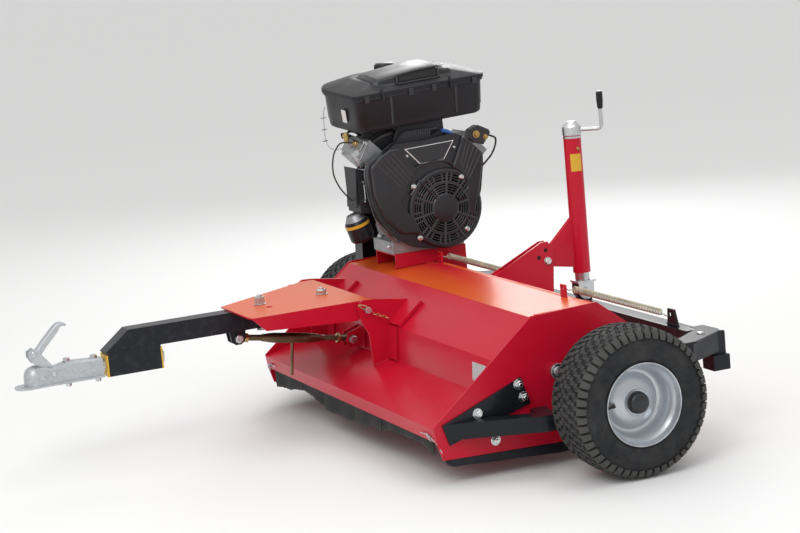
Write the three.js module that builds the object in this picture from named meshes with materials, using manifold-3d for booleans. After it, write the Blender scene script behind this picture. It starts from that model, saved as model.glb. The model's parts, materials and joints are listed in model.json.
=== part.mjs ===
import * as THREE from "three";
import { mergeVertices } from "three/addons/utils/BufferGeometryUtils.js";
import Module from "manifold-3d";

// Towed flail mower. Millimetres, +X to the right-hand wheel, -Y towards the hitch, +Z up.
// Inside the group Y is measured from the wheel axle; the group is shifted so that the box is centred.

const wasm = await Module();
wasm.setup();

// ---- driving dimensions ----
const GAP = 0.4;
const AXLE_Z = 203;
const WHEEL_R = 203;
const WHEEL_X = 864.4;
const TYRE_W = 165;
const DECK_X = 641.6;
const SHEET = 5.2;
const ROTOR_Z = 212;
const ROTOR_TIP_R = 172;
const ROTOR_TUBE_R = 62;
const ENGINE_Y = 61;
const ENGINE_Z = 598;
const FAN_FACE_X = -330;
const PIVOT = [-97, 262];
const ARM_X0 = 705;
const ARM_X1 = 768;
const BAR_Y0 = 320;
const BAR_SIDE = 50;
const BAR_Z0 = 254;
const JACK_Y = 347;
const JACK_PIN_Z = 335;
const EAR_PIN = [-354, 376];
const DRAW_X = -265;
const TURN_X = DRAW_X;
const LUG_REAR = [-331, 255];
const LUG_FRONT = [-696, 315];
const COUPLER_Z = 300;
const Y_FRONT = -1390;
const Y_BACK = 431.5;

// ---- materials ----
const paint = (name, color, roughness, metalness) =>
  Object.assign(new THREE.MeshStandardMaterial({ color, roughness, metalness }), { name });
const RED = () => paint("red_paint", 0xb01020, 0.35, 0.1);
const BLACK = () => paint("black_paint", 0x1b1d20, 0.45, 0.1);
const PLASTIC = () => paint("black_plastic", 0x202226, 0.6, 0);
const ZINC = () => paint("zinc", 0xb9bcc0, 0.35, 0.9);
const STEEL = () => paint("bare_steel", 0x85878a, 0.45, 0.9);
const CAST = () => paint("cast_metal", 0x55575b, 0.6, 0.6);
const ALLOY = () => paint("alloy", 0x9a9da1, 0.5, 0.8);
const RUBBER = () => paint("rubber", 0x1a1a1b, 0.85, 0);
const TYRE = () => paint("tyre", 0x151516, 0.9, 0);
const SILVER = () => paint("silver_rim", 0xb4b6ba, 0.4, 0.5);

// ---- solids ----
// A closed geometry as a boolean-ready solid.
function solid(geometry) {
  const g = geometry.clone();
  g.deleteAttribute("normal");
  g.deleteAttribute("uv");
  const m = mergeVertices(g, 1e-3);
  return new wasm.Manifold(
    new wasm.Mesh({
      numProp: 3,
      vertProperties: new Float32Array(m.attributes.position.array),
      triVerts: new Uint32Array(m.index.array),
    }),
  );
}
const union = (...parts) => parts.reduce((a, b) => a.add(b));
const cut = (body, ...tools) => tools.reduce((a, b) => a.subtract(b), body);

// Axis-aligned block between two corners.
function block(x, y, z) {
  const g = new THREE.BoxGeometry(x[1] - x[0], y[1] - y[0], z[1] - z[0]);
  g.translate((x[0] + x[1]) / 2, (y[0] + y[1]) / 2, (z[0] + z[1]) / 2);
  return solid(g);
}

const EXTRUDE_AXES = {
  X: [new THREE.Vector3(0, 1, 0), new THREE.Vector3(0, 0, 1), new THREE.Vector3(1, 0, 0)],
  Y: [new THREE.Vector3(0, 0, 1), new THREE.Vector3(1, 0, 0), new THREE.Vector3(0, 1, 0)],
  Z: [new THREE.Vector3(1, 0, 0), new THREE.Vector3(0, 1, 0), new THREE.Vector3(0, 0, 1)],
};
// Outline drawn across an axis and carried along it: X takes (y,z), Y takes (z,x), Z takes (x,y).
function plate(axis, outline, from, to) {
  const shape = new THREE.Shape(outline.map(([a, b]) => new THREE.Vector2(a, b)));
  const g = new THREE.ExtrudeGeometry(shape, { depth: to - from, bevelEnabled: false });
  g.translate(0, 0, from);
  g.applyMatrix4(new THREE.Matrix4().makeBasis(...EXTRUDE_AXES[axis]));
  return solid(g);
}
// Upright block whose plan shrinks from scale k0 at z0 to k1 at z1, about a centre.
function tapered(outline, centre, z0, z1, k0, k1) {
  const shape = new THREE.Shape(outline.map(([a, b]) => new THREE.Vector2(a - centre[0], b - centre[1])));
  const g = new THREE.ExtrudeGeometry(shape, { depth: z1 - z0, bevelEnabled: false });
  const at = g.attributes.position;
  for (let i = 0; i < at.count; i++) {
    const k = k0 + ((k1 - k0) * at.getZ(i)) / (z1 - z0);
    at.setXYZ(i, centre[0] + at.getX(i) * k, centre[1] + at.getY(i) * k, z0 + at.getZ(i));
  }
  return solid(g);
}
// Outline of a disc or of the band round two discs, for plate().
const circle = (a, b, r, n = 24) =>
  Array.from({ length: n }, (_, i) => {
    const t = (i / n) * 2 * Math.PI;
    return [a + r * Math.cos(t), b + r * Math.sin(t)];
  });
function band(c1, r1, c2, r2, n = 12) {
  const along = Math.atan2(c2[1] - c1[1], c2[0] - c1[0]);
  const lean = Math.acos((r1 - r2) / Math.hypot(c2[0] - c1[0], c2[1] - c1[1]));
  const arc = (c, r, from, to) =>
    Array.from({ length: n + 1 }, (_, i) => {
      const t = from + ((to - from) * i) / n;
      return [c[0] + r * Math.cos(t), c[1] + r * Math.sin(t)];
    });
  return [
    ...arc(c2, r2, along - lean, along + lean),
    ...arc(c1, r1, along + lean, along + 2 * Math.PI - lean),
  ];
}
const TURN_TO = { X: (g) => g.rotateZ(-Math.PI / 2), Y: (g) => g, Z: (g) => g.rotateX(Math.PI / 2) };
// Round bar along an axis through the point c, from one coordinate to the other.
function rod(axis, c, r, from, to, n = 16) {
  const g = TURN_TO[axis](new THREE.CylinderGeometry(r, r, to - from, n));
  const mid = (from + to) / 2;
  const at = { X: [mid, c[0], c[1]], Y: [c[0], mid, c[1]], Z: [c[0], c[1], mid] }[axis];
  return solid(g.translate(...at));
}
const hexagon = (axis, c, across, from, to) => rod(axis, c, across / Math.sqrt(3), from, to, 6);
// Turned body: profile of [radius, along] carried round an axis through c.
function turned(axis, c, profile, n = 32) {
  const g = new THREE.LatheGeometry(profile.map(([r, h]) => new THREE.Vector2(r, h)), n);
  TURN_TO[axis](g);
  const at = { X: [0, c[0], c[1]], Y: [c[0], 0, c[1]], Z: [c[0], c[1], 0] }[axis];
  const made = solid(g.translate(...at));
  return made.volume() < 0 ? solid(flipped(g)) : made;
}
function flipped(g) {
  const f = g.clone();
  const idx = Array.from(f.index.array);
  for (let i = 0; i < idx.length; i += 3) [idx[i + 1], idx[i + 2]] = [idx[i + 2], idx[i + 1]];
  f.setIndex(idx);
  return f;
}
// Wire or pipe along points.
function wire(points, r, n = 8, steps = 24, tension = 0.5) {
  const path = new THREE.CatmullRomCurve3(
    points.map((p) => new THREE.Vector3(...p)), false, "catmullrom", tension,
  );
  const ring = new THREE.Shape(circle(0, 0, r, n).map(([a, b]) => new THREE.Vector2(a, b)));
  return solid(new THREE.ExtrudeGeometry(ring, { steps, extrudePath: path, bevelEnabled: false }));
}
// A folded sheet: the outline of a polyline and its inward offset.
function folded(line, t) {
  const inner = line.map((p, i) => {
    const before = line[Math.max(i - 1, 0)];
    const after = line[Math.min(i + 1, line.length - 1)];
    const n1 = normal(before, i ? p : after);
    const n2 = normal(i < line.length - 1 ? p : before, after);
    const m = [n1[0] + n2[0], n1[1] + n2[1]];
    const k = (2 * t) / (m[0] ** 2 + m[1] ** 2);
    return [p[0] + m[0] * k, p[1] + m[1] * k];
  });
  return [...line, ...inner.reverse()];
}
function normal(a, b) {
  const l = Math.hypot(b[0] - a[0], b[1] - a[1]);
  return [(b[1] - a[1]) / l, -(b[0] - a[0]) / l];
}
const mirrored = (points) => points.map(([x, y]) => [-x, y]);

// ---- the group ----
const root = new THREE.Group();
root.name = "towed_flail_mower";
root.position.y = -(Y_FRONT + Y_BACK) / 2;
function part(name, body, material) {
  const m = body.getMesh();
  const g = new THREE.BufferGeometry();
  g.setAttribute("position", new THREE.BufferAttribute(new Float32Array(m.vertProperties), 3));
  g.setIndex(new THREE.BufferAttribute(new Uint32Array(m.triVerts), 1));
  const mesh = new THREE.Mesh(g, material);
  mesh.name = name;
  root.add(mesh);
}
// Builds a piece on both sides: side is +1 for near, -1 for far, and span() orders X for that side.
function bothSides(make) {
  for (const [side, label] of [[1, "near"], [-1, "far"]])
    make(side, label, (a, b) => (side > 0 ? [a, b] : [-b, -a]));
}

// ---- deck ----
const HOOD_LINE = [
  [-471, 124], [-477, 163], [-293, 218], [-285, 320], [-162, 420], [40, 428], [216, 290], [216, 118],
];
const INNER_X = DECK_X - SHEET - GAP;
const SPRING_TABS = [486, -330];
part(
  "deck_hood",
  union(
    plate("X", folded(HOOD_LINE, SHEET), -INNER_X, INNER_X),
    ...SPRING_TABS.map((x) =>
      cut(block([x - 15, x + 15], [22, 28], [424, 464]), rod("Y", [x, 453], 6, 20, 30, 12))),
  ),
  RED(),
);

const SIDE_OUTLINE = [
  [-456, 74], [-107, 62], [216, 58], [221, 110], [221, 293], [42, 432], [-160, 424], [-477, 167], [-471, 124],
];
bothSides((side, label, span) => {
  const [x0, x1] = span(DECK_X - SHEET, DECK_X);
  part(
    `side_panel_${label}`,
    cut(
      plate("X", SIDE_OUTLINE, x0, x1),
      rod("X", [0, ROTOR_Z], 34, x0 - 1, x1 + 1),
      rod("X", PIVOT, 10.4, x0 - 1, x1 + 1),
    ),
    RED(),
  );
  const [s0, s1] = span(DECK_X - 12, DECK_X - 1);
  part(
    `skid_${label}`,
    plate("X", [
      [-452, 73.6], [-444, 60], [-428, 52], [-111, 32], [196, 28], [212, 40], [214, 57.4], [-107, 61.4],
    ], s0, s1),
    BLACK(),
  );
});

// Wheel guard: a slanted plate bolted to the side panel and a square tube bow in front of the tyre.
const GUARD_PLATE = [[-453, 170], [-211, 263], [-185, 189], [-435, 113]];
const GUARD_TUBE_Z = [128, 172];
bothSides((side, label, span) => {
  const [p0, p1] = span(DECK_X + GAP, DECK_X + 6.4);
  const bow = [
    [DECK_X + 5, -440], [753, -196], [753, -168], [DECK_X + 5, -138], [DECK_X + 5, -188], [700, -196],
    [DECK_X + 5, -320],
  ];
  const outline = side > 0 ? bow : mirrored(bow).reverse();
  part(
    `wheel_guard_${label}`,
    union(plate("X", GUARD_PLATE, p0, p1), plate("Z", outline, ...GUARD_TUBE_Z)),
    BLACK(),
  );
});

// Front flap hung on a steel rod behind the front lip.
const ROD_AT = [-451, 144];
part("flap_rod", rod("X", ROD_AT, 5, -634, 634, 12), STEEL());
const FLAP_EDGE = [
  [-600, 66], [-480, 78], [-357, 96], [-299, 90], [-200, 75], [-184, 69], [-13, 70], [156, 77], [173, 84], [249, 84],
  [301, 98], [398, 99], [474, 102], [552, 99], [600, 84],
];
part(
  "front_flap",
  union(
    plate("Y", [...FLAP_EDGE.map(([x, z]) => [z, x]), [144, 600], [144, -600]], -463, -457),
    cut(rod("X", ROD_AT, 11.5, -570, 570, 12), rod("X", ROD_AT, 5.6, -571, 571, 12)),
  ),
  RUBBER(),
);

// Hitch ears with the pocket boxes that brace them on the slope of the hood.
function ear(name, x0, box0, box1) {
  const cheek = [
    [-346, 204.6], [-296, 219.4], [-286.2, 321.4], [-206, 386.4], [-331, 405], [-364, 406], [-378, 398],
    [-383, 382], [-372, 340], [-352, 300],
  ];
  const pocket = [[-284.6, 322.6], [-205, 387.2], [-214, 393], [-290, 331]];
  part(
    name,
    cut(
      union(plate("X", cheek, x0 - 10, x0), plate("X", pocket, x0 - 1, x0 + box1),
        plate("X", [[-294, 222], [-286.4, 320], [-292, 322], [-300, 222]], x0 - 1, x0 + box0)),
      rod("X", EAR_PIN, 10.4, x0 - 12, x0 + 2),
    ),
    RED(),
  );
}
ear("hitch_ear_near", -50, 60, 80);
ear("hitch_ear_far", -538, 60, 80);

// Lug for the turnbuckle on the recessed front of the hood.
part(
  "turnbuckle_lug",
  cut(
    union(
      plate("X", [[-294.2, 222], [-287, 318], [-293, 318], [-300, 222]], TURN_X - 34, TURN_X + 34),
      ...[-1, 1].map((s) =>
        plate("X", [[-296, 226], [-345, 232], [-352, 255], [-342, 276], [-292, 292]],
          TURN_X + s * 18 - 3, TURN_X + s * 18 + 3)),
    ),
    rod("X", LUG_REAR, 8.3, TURN_X - 30, TURN_X + 30),
  ),
  RED(),
);

// ---- flail rotor ----
const flails = [];
const ROWS = 24;
for (let i = 0; i < ROWS; i++) {
  const x = -552 + (i * 1104) / (ROWS - 1);
  const root = ROTOR_TUBE_R - 4;
  const blade = new THREE.BoxGeometry(40, 9, ROTOR_TIP_R - root);
  blade.translate(0, 0, (ROTOR_TIP_R + root) / 2);
  blade.rotateX((i * 5 * 2 * Math.PI) / 12);
  flails.push(solid(blade.translate(x, 0, ROTOR_Z)));
}
part(
  "flail_rotor",
  union(
    cut(
      rod("X", [0, ROTOR_Z], ROTOR_TUBE_R, -600, 600, 28),
      rod("X", [0, ROTOR_Z], ROTOR_TUBE_R - 8, -592, 592, 28),
      rod("X", [36, ROTOR_Z], 6, 590, 602, 8),
    ),
    rod("X", [0, ROTOR_Z], 20, -698, -590, 20),
    rod("X", [0, ROTOR_Z], 20, 590, 670, 20),
    ...flails,
  ),
  STEEL(),
);
bothSides((side, label, span) => {
  const [f0, f1] = span(DECK_X + GAP, DECK_X + 12);
  const [h0, h1] = span(DECK_X + 4, DECK_X + 27);
  const flange = [[-54, -40], [-40, -54], [40, -54], [54, -40], [54, 40], [40, 54], [-40, 54], [-54, 40]];
  const bolts = [];
  for (const [a, b] of [[-38, -38], [38, -38], [38, 38], [-38, 38]])
    bolts.push(hexagon("X", [a, ROTOR_Z + b], 19, ...span(DECK_X + 10, DECK_X + 19)));
  part(
    `rotor_bearing_${label}`,
    cut(
      union(
        plate("X", flange.map(([a, b]) => [a, b + ROTOR_Z]), f0, f1),
        rod("X", [0, ROTOR_Z], 36, h0, h1, 28),
        ...bolts,
      ),
      rod("X", [0, ROTOR_Z], 20.6, Math.min(f0, h0) - 2, Math.max(f1, h1) + 2),
    ),
    CAST(),
  );
});

// ---- belt drive on the far side ----
const BELT_X = [-695, -675];
const ENGINE_PULLEY_R = 56;
const ROTOR_PULLEY_R = 62;
const sheave = (r) => [
  [20.6, 0], [r, 0], [r, 3], [r - 12, 7], [r - 12, 13], [r, 17], [r, 20], [20.6, 20], [20.6, 0],
].map(([a, h]) => [a, h + BELT_X[0]]);
part("rotor_pulley", turned("X", [0, ROTOR_Z], sheave(ROTOR_PULLEY_R), 24), CAST());
part("engine_pulley", turned("X", [ENGINE_Y, ENGINE_Z], sheave(ENGINE_PULLEY_R), 24), CAST());
const beltLoop = (extra) =>
  band([0, ROTOR_Z], ROTOR_PULLEY_R - 11.4 + extra, [ENGINE_Y, ENGINE_Z], ENGINE_PULLEY_R - 11.4 + extra, 16);
part(
  "drive_belt",
  cut(
    plate("X", beltLoop(9), BELT_X[0] + 7.4, BELT_X[0] + 12.6),
    plate("X", beltLoop(0), BELT_X[0] + 6, BELT_X[0] + 14),
  ),
  RUBBER(),
);
const guardBand = (less) => band([0, ROTOR_Z], 116 - less, [ENGINE_Y, ENGINE_Z], 164 - less, 16);
part(
  "belt_guard",
  cut(
    plate("X", guardBand(0), -702, -DECK_X - GAP),
    plate("X", guardBand(3), -699, -DECK_X + 2),
    rod("X", PIVOT, 31, -710, -630, 24),
  ),
  BLACK(),
);

// ---- engine ----
const PEDESTAL_X = [-525, -371];
const PEDESTAL_TOP = 470;
const PEDESTAL_T = 6;
part(
  "engine_pedestal",
  cut(
    plate("X", [[-110, 423], [-110, PEDESTAL_TOP], [136, PEDESTAL_TOP], [136, 354.8], [41, 429.2]], ...PEDESTAL_X),
    block([PEDESTAL_X[0] + PEDESTAL_T, PEDESTAL_X[1] - PEDESTAL_T], [-120, 136 - PEDESTAL_T],
      [340, PEDESTAL_TOP - PEDESTAL_T]),
  ),
  RED(),
);
const CASE_FOOT = [PEDESTAL_TOP + GAP, 508];
const CASE_SIDE = [[-64, 506], [130, 506], [150, 560], [132, 690], [-10, 700], [-60, 640], [-70, 530]];
const CASE_X = [-600, -404];
part(
  "crankcase",
  cut(
    union(
      plate("X", CASE_SIDE, ...CASE_X),
      rod("X", [ENGINE_Y, ENGINE_Z], 74, -640, CASE_X[0] + 2, 28),
      block([-526, PEDESTAL_X[1] - 0.8], [-114, 132], CASE_FOOT),
    ),
    rod("X", [ENGINE_Y, ENGINE_Z], 21, -650, -400),
  ),
  ALLOY(),
);
// Two finned barrels in a V, standing on the crankcase; the front one shows its valve cover.
const INLET_TOP = 821.6;
function barrel(lean) {
  const fins = 7;
  const parts = [
    new THREE.BoxGeometry(84, 78, 120).translate(0, 0, 170),
    new THREE.BoxGeometry(104, 96, 36).translate(0, 0, 242),
  ];
  for (let i = 0; i < fins; i++) parts.push(new THREE.BoxGeometry(112, 108, 7).translate(0, 0, 128 + i * 15));
  if (lean > 0) parts.push(new THREE.BoxGeometry(132, 66, 64).translate(24, -17, 289));
  return parts.map((g) =>
    solid(g.rotateX(lean).translate(lean > 0 ? -478 : -506, ENGINE_Y, ENGINE_Z)));
}
part(
  "engine_cylinders",
  cut(
    union(...barrel(Math.PI / 4), ...barrel(-Math.PI / 4),
      plate("X", [[-8, 690], [130, 690], [130, 745], [100, INLET_TOP], [20, INLET_TOP], [-8, 745]], -540, -440)),
    plate("X", [[-60, 500], [140, 500], [151, 560], [133, 690.8], [-10.2, 700.8], [-60.7, 640.4],
      [-71, 530]], -604, -402),
  ),
  CAST(),
);
const SHROUD = [
  [-192, 734], [-184, 763], [-132, 793], [-93, 818], [8, 818], [115, 829], [156, 808], [207, 754], [207, 724],
  [192, 641], [160, 551], [118, 506], [88, 484], [17, 473], [-51, 487], [-121, 531], [-169, 593], [-186, 658],
];
const shrink = (outline, k) => outline.map(([y, z]) => [20 + (y - 20) * k, 650 + (z - 650) * k]);
const fanSlots = [];
for (const [inner, outer, count] of [[57, 78, 12], [86, 106, 16]])
  for (let i = 0; i < count; i++) {
    const a0 = ((i + 0.1) / count) * 2 * Math.PI, a1 = ((i + 0.9) / count) * 2 * Math.PI;
    const at = (r, a) => [ENGINE_Y + r * Math.cos(a), ENGINE_Z + r * Math.sin(a)];
    const mid = (a0 + a1) / 2;
    fanSlots.push(plate("X", [at(inner, a0), at(outer, a0), at(outer, mid), at(outer, a1), at(inner, a1),
      at(inner, mid)].reverse(), FAN_FACE_X - 12, FAN_FACE_X + 12));
  }
part(
  "blower_housing",
  cut(
    union(
      plate("X", SHROUD, FAN_FACE_X - 40, FAN_FACE_X - 8),
      plate("X", shrink(SHROUD, 0.95), FAN_FACE_X - 10, FAN_FACE_X - 2),
      rod("X", [ENGINE_Y, ENGINE_Z], 118, FAN_FACE_X - 10, FAN_FACE_X + 8, 36),
    ),
    plate("X", shrink(SHROUD, 0.93), FAN_FACE_X - 72, FAN_FACE_X - 8),
    ...fanSlots,
  ),
  PLASTIC(),
);
const fanBlades = [];
for (let i = 0; i < 12; i++) {
  const g = new THREE.BoxGeometry(20, 5, 56).translate(0, 0, 60);
  fanBlades.push(solid(g.rotateX((i / 12) * 2 * Math.PI).translate(-355, ENGINE_Y, ENGINE_Z)));
}
part(
  "cooling_fan",
  union(
    rod("X", [ENGINE_Y, ENGINE_Z], 36, -369, -345, 20),
    rod("X", [ENGINE_Y, ENGINE_Z], 88, -369, -364, 28),
    rod("X", [ENGINE_Y, ENGINE_Z], 20, -698, -366, 20),
    ...fanBlades,
  ),
  STEEL(),
);
part(
  "intake_column",
  union(
    plate("X", [[-203, 752], [-172, 741], [-146, 726], [-146, 612], [-156, 604], [-200, 610]], -500, -400),
    plate("X", [[-150, 612], [-68, 600], [-65.6, 586], [-72, 560], [-80, 560], [-90, 590], [-150, 606]], -500, -470),
  ),
  PLASTIC(),
);
const FILTER = { top: [-434, -208, 592], r: 39, length: 74, tilt: 0.3 };
function tilted(profile, n) {
  const g = new THREE.LatheGeometry(profile.map(([r, h]) => new THREE.Vector2(r, h)), n);
  g.rotateX(Math.PI / 2 + FILTER.tilt).translate(...FILTER.top);
  return solid(g).volume() < 0 ? solid(flipped(g)) : solid(g);
}
part(
  "oil_filter",
  tilted([[0, -FILTER.length], [FILTER.r - 6, -FILTER.length], [FILTER.r, -FILTER.length + 8], [FILTER.r, -12],
    [FILTER.r - 4, -4], [0, -4]], 28),
  BLACK(),
);

// Air cleaner: tapered tub and hipped lid with a raised air scoop, tipped up to the back and the far side.
const BOX_RISE = { back: 0.0544, far: 0.1 };
const BOX_CORNER = [-345, -210];
const BOX_CORNER_Z = 966;
const BOX_OUTLINE = [
  BOX_CORNER, [-345, 231], [-375, 248], [-600, 246], [-640, 205], [-640, -170], [-610, -208], [-547, -237],
];
const BOX_MID = [-480, -5];
const degrees = (slope) => (Math.atan(slope) * 180) / Math.PI;
const tipped = (body) =>
  body
    .translate([-BOX_CORNER[0], -BOX_CORNER[1], 0])
    .rotate([degrees(BOX_RISE.back), degrees(BOX_RISE.far), 0])
    .translate([...BOX_CORNER, BOX_CORNER_Z]);
const tub = (z0, z1, k0, k1) => tapered(BOX_OUTLINE, BOX_MID, z0, z1, k0, k1);
part(
  "air_cleaner_base",
  cut(
    union(
      tipped(union(tub(-112, -6, 0.87, 0.955), tub(-8, -GAP, 0.985, 0.985))),
      plate("X", [[-75, 826], [-60, INLET_TOP + GAP], [98, INLET_TOP + GAP], [102, 826], [98, 895], [-50, 885]],
        -530, -385),
    ),
    tipped(tub(-108, 1, 0.855, 0.94)),
  ),
  PLASTIC(),
);
const SCOOP_Y = [-122, 136];
part(
  "air_cleaner_lid",
  tipped(
    cut(
      union(
        tub(0, 12, 1, 1),
        tub(11, 36, 0.985, 0.6),
        plate("Y", [[8, -353], [26, -375], [46, -380], [56, -400], [58, -480], [48, -535], [20, -556], [8, -556]],
          ...SCOOP_Y),
        rod("Z", [-594, 5], 31, 10, 44, 24),
      ),
      block([-440, -370], [-44, 86], [27, 44]),
      tub(-1, 8, 0.95, 0.95),
    ),
  ),
  PLASTIC(),
);

// ---- jack ----
const JACK_R = 27;
part(
  "jack_bracket",
  cut(
    union(
      ...[-1, 1].map((s) =>
        plate("X", [[44, 424], [56, 432], [207, 504], [228, 505], [248, 479], [238, 347], [222, 340], [222, 280]],
          s * 12 - 3, s * 12 + 3)),
      plate("X", [[44, 420], [222, 280], [222, 312], [70, 436]], -14, 14),
    ),
    rod("X", [224, 446], 8.3, -20, 20),
    plate("X", [[217.4, 270], [217.4, 291.4], [41, 429], [30, 429], [30, 270]], -20, 20),
  ),
  RED(),
);
part(
  "jack_outer",
  cut(
    union(
      rod("Z", [0, JACK_Y], JACK_R, 392, 814, 28),
      plate("X", [[325, 569], [248, 496], [206, 470], [206, 424], [244, 424], [328, 410]], -7, 7),
    ),
    rod("Z", [0, JACK_Y], 23, 391, 806, 28),
    rod("X", [224, 446], 8.3, -20, 20),
  ),
  RED(),
);
// The crank arm leaves the side of the turning cap and bends up to an upright grip.
const ARM_Z = 830;
const GRIP_AT = [62, 417];
const GRIP_Z = [890, 942];
const armLine = [[7, 355, ARM_Z], [24, 374, ARM_Z], [53, 407, ARM_Z]];
part(
  "jack_cap",
  cut(
    turned("Z", [0, JACK_Y], [[0, 814.4], [29, 814.4], [29, 840], [13, 857], [12, 857], [0, 857]], 28),
    wire(armLine, 6.6, 12, 4),
  ),
  ZINC(),
);
part(
  "jack_crank",
  union(
    wire([...armLine, [60, 414, ARM_Z + 2], [...GRIP_AT, ARM_Z + 9], [...GRIP_AT, 880], [...GRIP_AT, 945]], 6, 10, 30),
    rod("Z", GRIP_AT, 8.5, GRIP_Z[1] + GAP, 945, 16),
  ),
  ZINC(),
);
part(
  "crank_grip",
  turned("Z", GRIP_AT, [[6.5, GRIP_Z[0]], [8.5, GRIP_Z[0]], [10.5, 904], [11, 930], [10, GRIP_Z[1]],
    [6.5, GRIP_Z[1]], [6.5, GRIP_Z[0]]], 20),
  PLASTIC(),
);
part("jack_inner", cut(rod("Z", [0, JACK_Y], 22.4, 368, 780, 24), rod("Z", [0, JACK_Y], 18, 374, 800, 20)), ZINC());
const CHEEK = [[-26, 32.6], [-26, 0], ...circle(0, 0, 26, 24).filter(([a, b]) => b < -1e-6), [26, 0], [26, 32.6]];
part(
  "jack_clevis",
  cut(
    union(
      plate("X", CHEEK.map(([a, b]) => [a + JACK_Y, b + JACK_PIN_Z]), -24, -18),
      plate("X", CHEEK.map(([a, b]) => [a + JACK_Y, b + JACK_PIN_Z]), 18, 24),
      block([-24, 24], [JACK_Y - 30, JACK_Y + 34], [361, 367.6]),
    ),
    rod("X", [JACK_Y, JACK_PIN_Z], 6.5, -30, 30),
  ),
  ZINC(),
);
part(
  "clevis_pin",
  union(rod("X", [JACK_Y, JACK_PIN_Z], 6.1, -32, 34, 16), rod("X", [JACK_Y, JACK_PIN_Z], 11, 30, 35, 16)),
  ZINC(),
);

// ---- wheel frame ----
const BAR_Z1 = BAR_Z0 + BAR_SIDE;
const pieces = [
  block([-640, 640], [BAR_Y0, BAR_Y0 + BAR_SIDE], [BAR_Z0, BAR_Z1]),
  plate("X", [[JACK_Y - 24, BAR_Z1 - 1], [JACK_Y + 24, BAR_Z1 - 1], [JACK_Y + 24, 342], [JACK_Y + 12, 355],
    [JACK_Y - 12, 355], [JACK_Y - 24, 342]], -9, 9),
];
for (const x of [532, -378])
  pieces.push(plate("Y", [[BAR_Z1 - 1, x - 14], [352, x - 10], [352, x + 24], [BAR_Z1 - 1, x + 42]], 333, 340));
for (const side of [1, -1]) {
  const flip = (o) => (side > 0 ? o : mirrored(o).reverse());
  const span = (a, b) => (side > 0 ? [a, b] : [-b, -a]);
  pieces.push(
    plate("X", [...circle(PIVOT[0], PIVOT[1] , 28, 20).filter(([y]) => y < PIVOT[0]), [PIVOT[0], PIVOT[1] - 28],
      [250, 243], [250, 298], [PIVOT[0], PIVOT[1] + 28]].sort(byAngle([PIVOT[0] + 60, PIVOT[1] + 2])),
    ...span(ARM_X0, ARM_X1)),
    plate("Z", flip([[ARM_X0, 200], [ARM_X1, 200], [772, 262], [735, 331], [701, 388], [630, 388], [630, 352],
      [ARM_X0, 260]]), 246, 300),
    plate("Z", flip([[ARM_X0, 229], [779, 229], [778, 269], [737, 333], [703, 390], [678, 401], [603, 398],
      [603, 356], [634, 356], [ARM_X0, 260]]), 299, BAR_Z1 + 1),
    block(span(660, 703), [362, 407], [236, 300]),
    block(span(656, 716), [358, 411], [194, 237]),
    plate("X", [[-52, 250], [52, 250], ...circle(0, AXLE_Z, 32, 20).filter(([, z]) => z < AXLE_Z + 6)]
      .sort(byAngle([0, 225])), ...span(ARM_X1 - 22, ARM_X1)),
    rod("X", [0, AXLE_Z], 15, ...span(ARM_X1 - 2, WHEEL_X + 46), 20),
  );
}
function byAngle(c) {
  return (p, q) => Math.atan2(p[1] - c[1], p[0] - c[0]) - Math.atan2(q[1] - c[1], q[0] - c[0]);
}
const lugSlot = [-1, 1].map((s) => rod("X", [JACK_Y + s * 6, JACK_PIN_Z], 8.6, -12, 12, 20));
part(
  "wheel_frame",
  cut(
    union(...pieces),
    ...lugSlot,
    block([-630, 630], [BAR_Y0 + 5, BAR_Y0 + BAR_SIDE - 5], [BAR_Z0 + 5, BAR_Z1 - 5]),
    rod("Z", [0, BAR_Y0 + BAR_SIDE / 2], 6, BAR_Z0 - 1, BAR_Z0 + 7, 12),
    block([-12, 12], [JACK_Y - 6, JACK_Y + 6], [JACK_PIN_Z - 8.5, JACK_PIN_Z + 8.5]),
    ...[532, -378].map((x) => rod("Y", [x, JACK_PIN_Z], 8, 330, 345)),
    ...[1, -1].map((s) => rod("X", PIVOT, 13, s > 0 ? 700 : -775, s > 0 ? 775 : -700)),
  ),
  BLACK(),
);
bothSides((side, label, span) => {
  part(
    `pivot_pin_${label}`,
    union(
      rod("X", PIVOT, 22, ...span(DECK_X + GAP, 654), 24),
      rod("X", PIVOT, 12.5, ...span(650, 776), 20),
      rod("X", PIVOT, 10, ...span(DECK_X - 14, 645), 20),
      rod("X", PIVOT, 19, ...span(ARM_X1 + 1, 777), 20),
    ),
    ZINC(),
  );
});

// ---- wheels ----
const HALF = TYRE_W / 2;
const TYRE_PROFILE = [[104, 60], [116, 76], [156, HALF], [186, 76], [198, 60], [202, 34], [WHEEL_R, 0]];
const RIM_RING = [
  [17, -40], [34, -40], [34, 0], [84, 6], [92, -56], [111, -80], [112.4, -76], [103, -60], [103, 60],
  [112.4, 76], [111, 80], [92, 56], [84, 14], [34, 10], [34, 40], [17, 40], [17, -40],
];
bothSides((side, label) => {
  const at = (profile) => profile.map(([r, h]) => [r, side * (WHEEL_X + h)]);
  const outer = [...TYRE_PROFILE.map(([r, h]) => [r, -h]), ...[...TYRE_PROFILE].reverse().slice(1)];
  const ring = [...outer, [104, 60 - 6], [104, -54], [104, -60]];
  part(`tyre_${label}`, turned("X", [0, AXLE_Z], at(ring), 36), TYRE());
  part(`rim_${label}`, turned("X", [0, AXLE_Z], at(RIM_RING), 28), SILVER());
  part(
    `hub_cap_${label}`,
    cut(
      turned("X", [0, AXLE_Z], at([[0, 41], [30, 41], [30, 54], [24, 62], [0, 62]]), 24),
      rod("X", [0, AXLE_Z], 16, ...(side > 0 ? [WHEEL_X, WHEEL_X + 50] : [-WHEEL_X - 50, -WHEEL_X])),
    ),
    ZINC(),
  );
});

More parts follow.
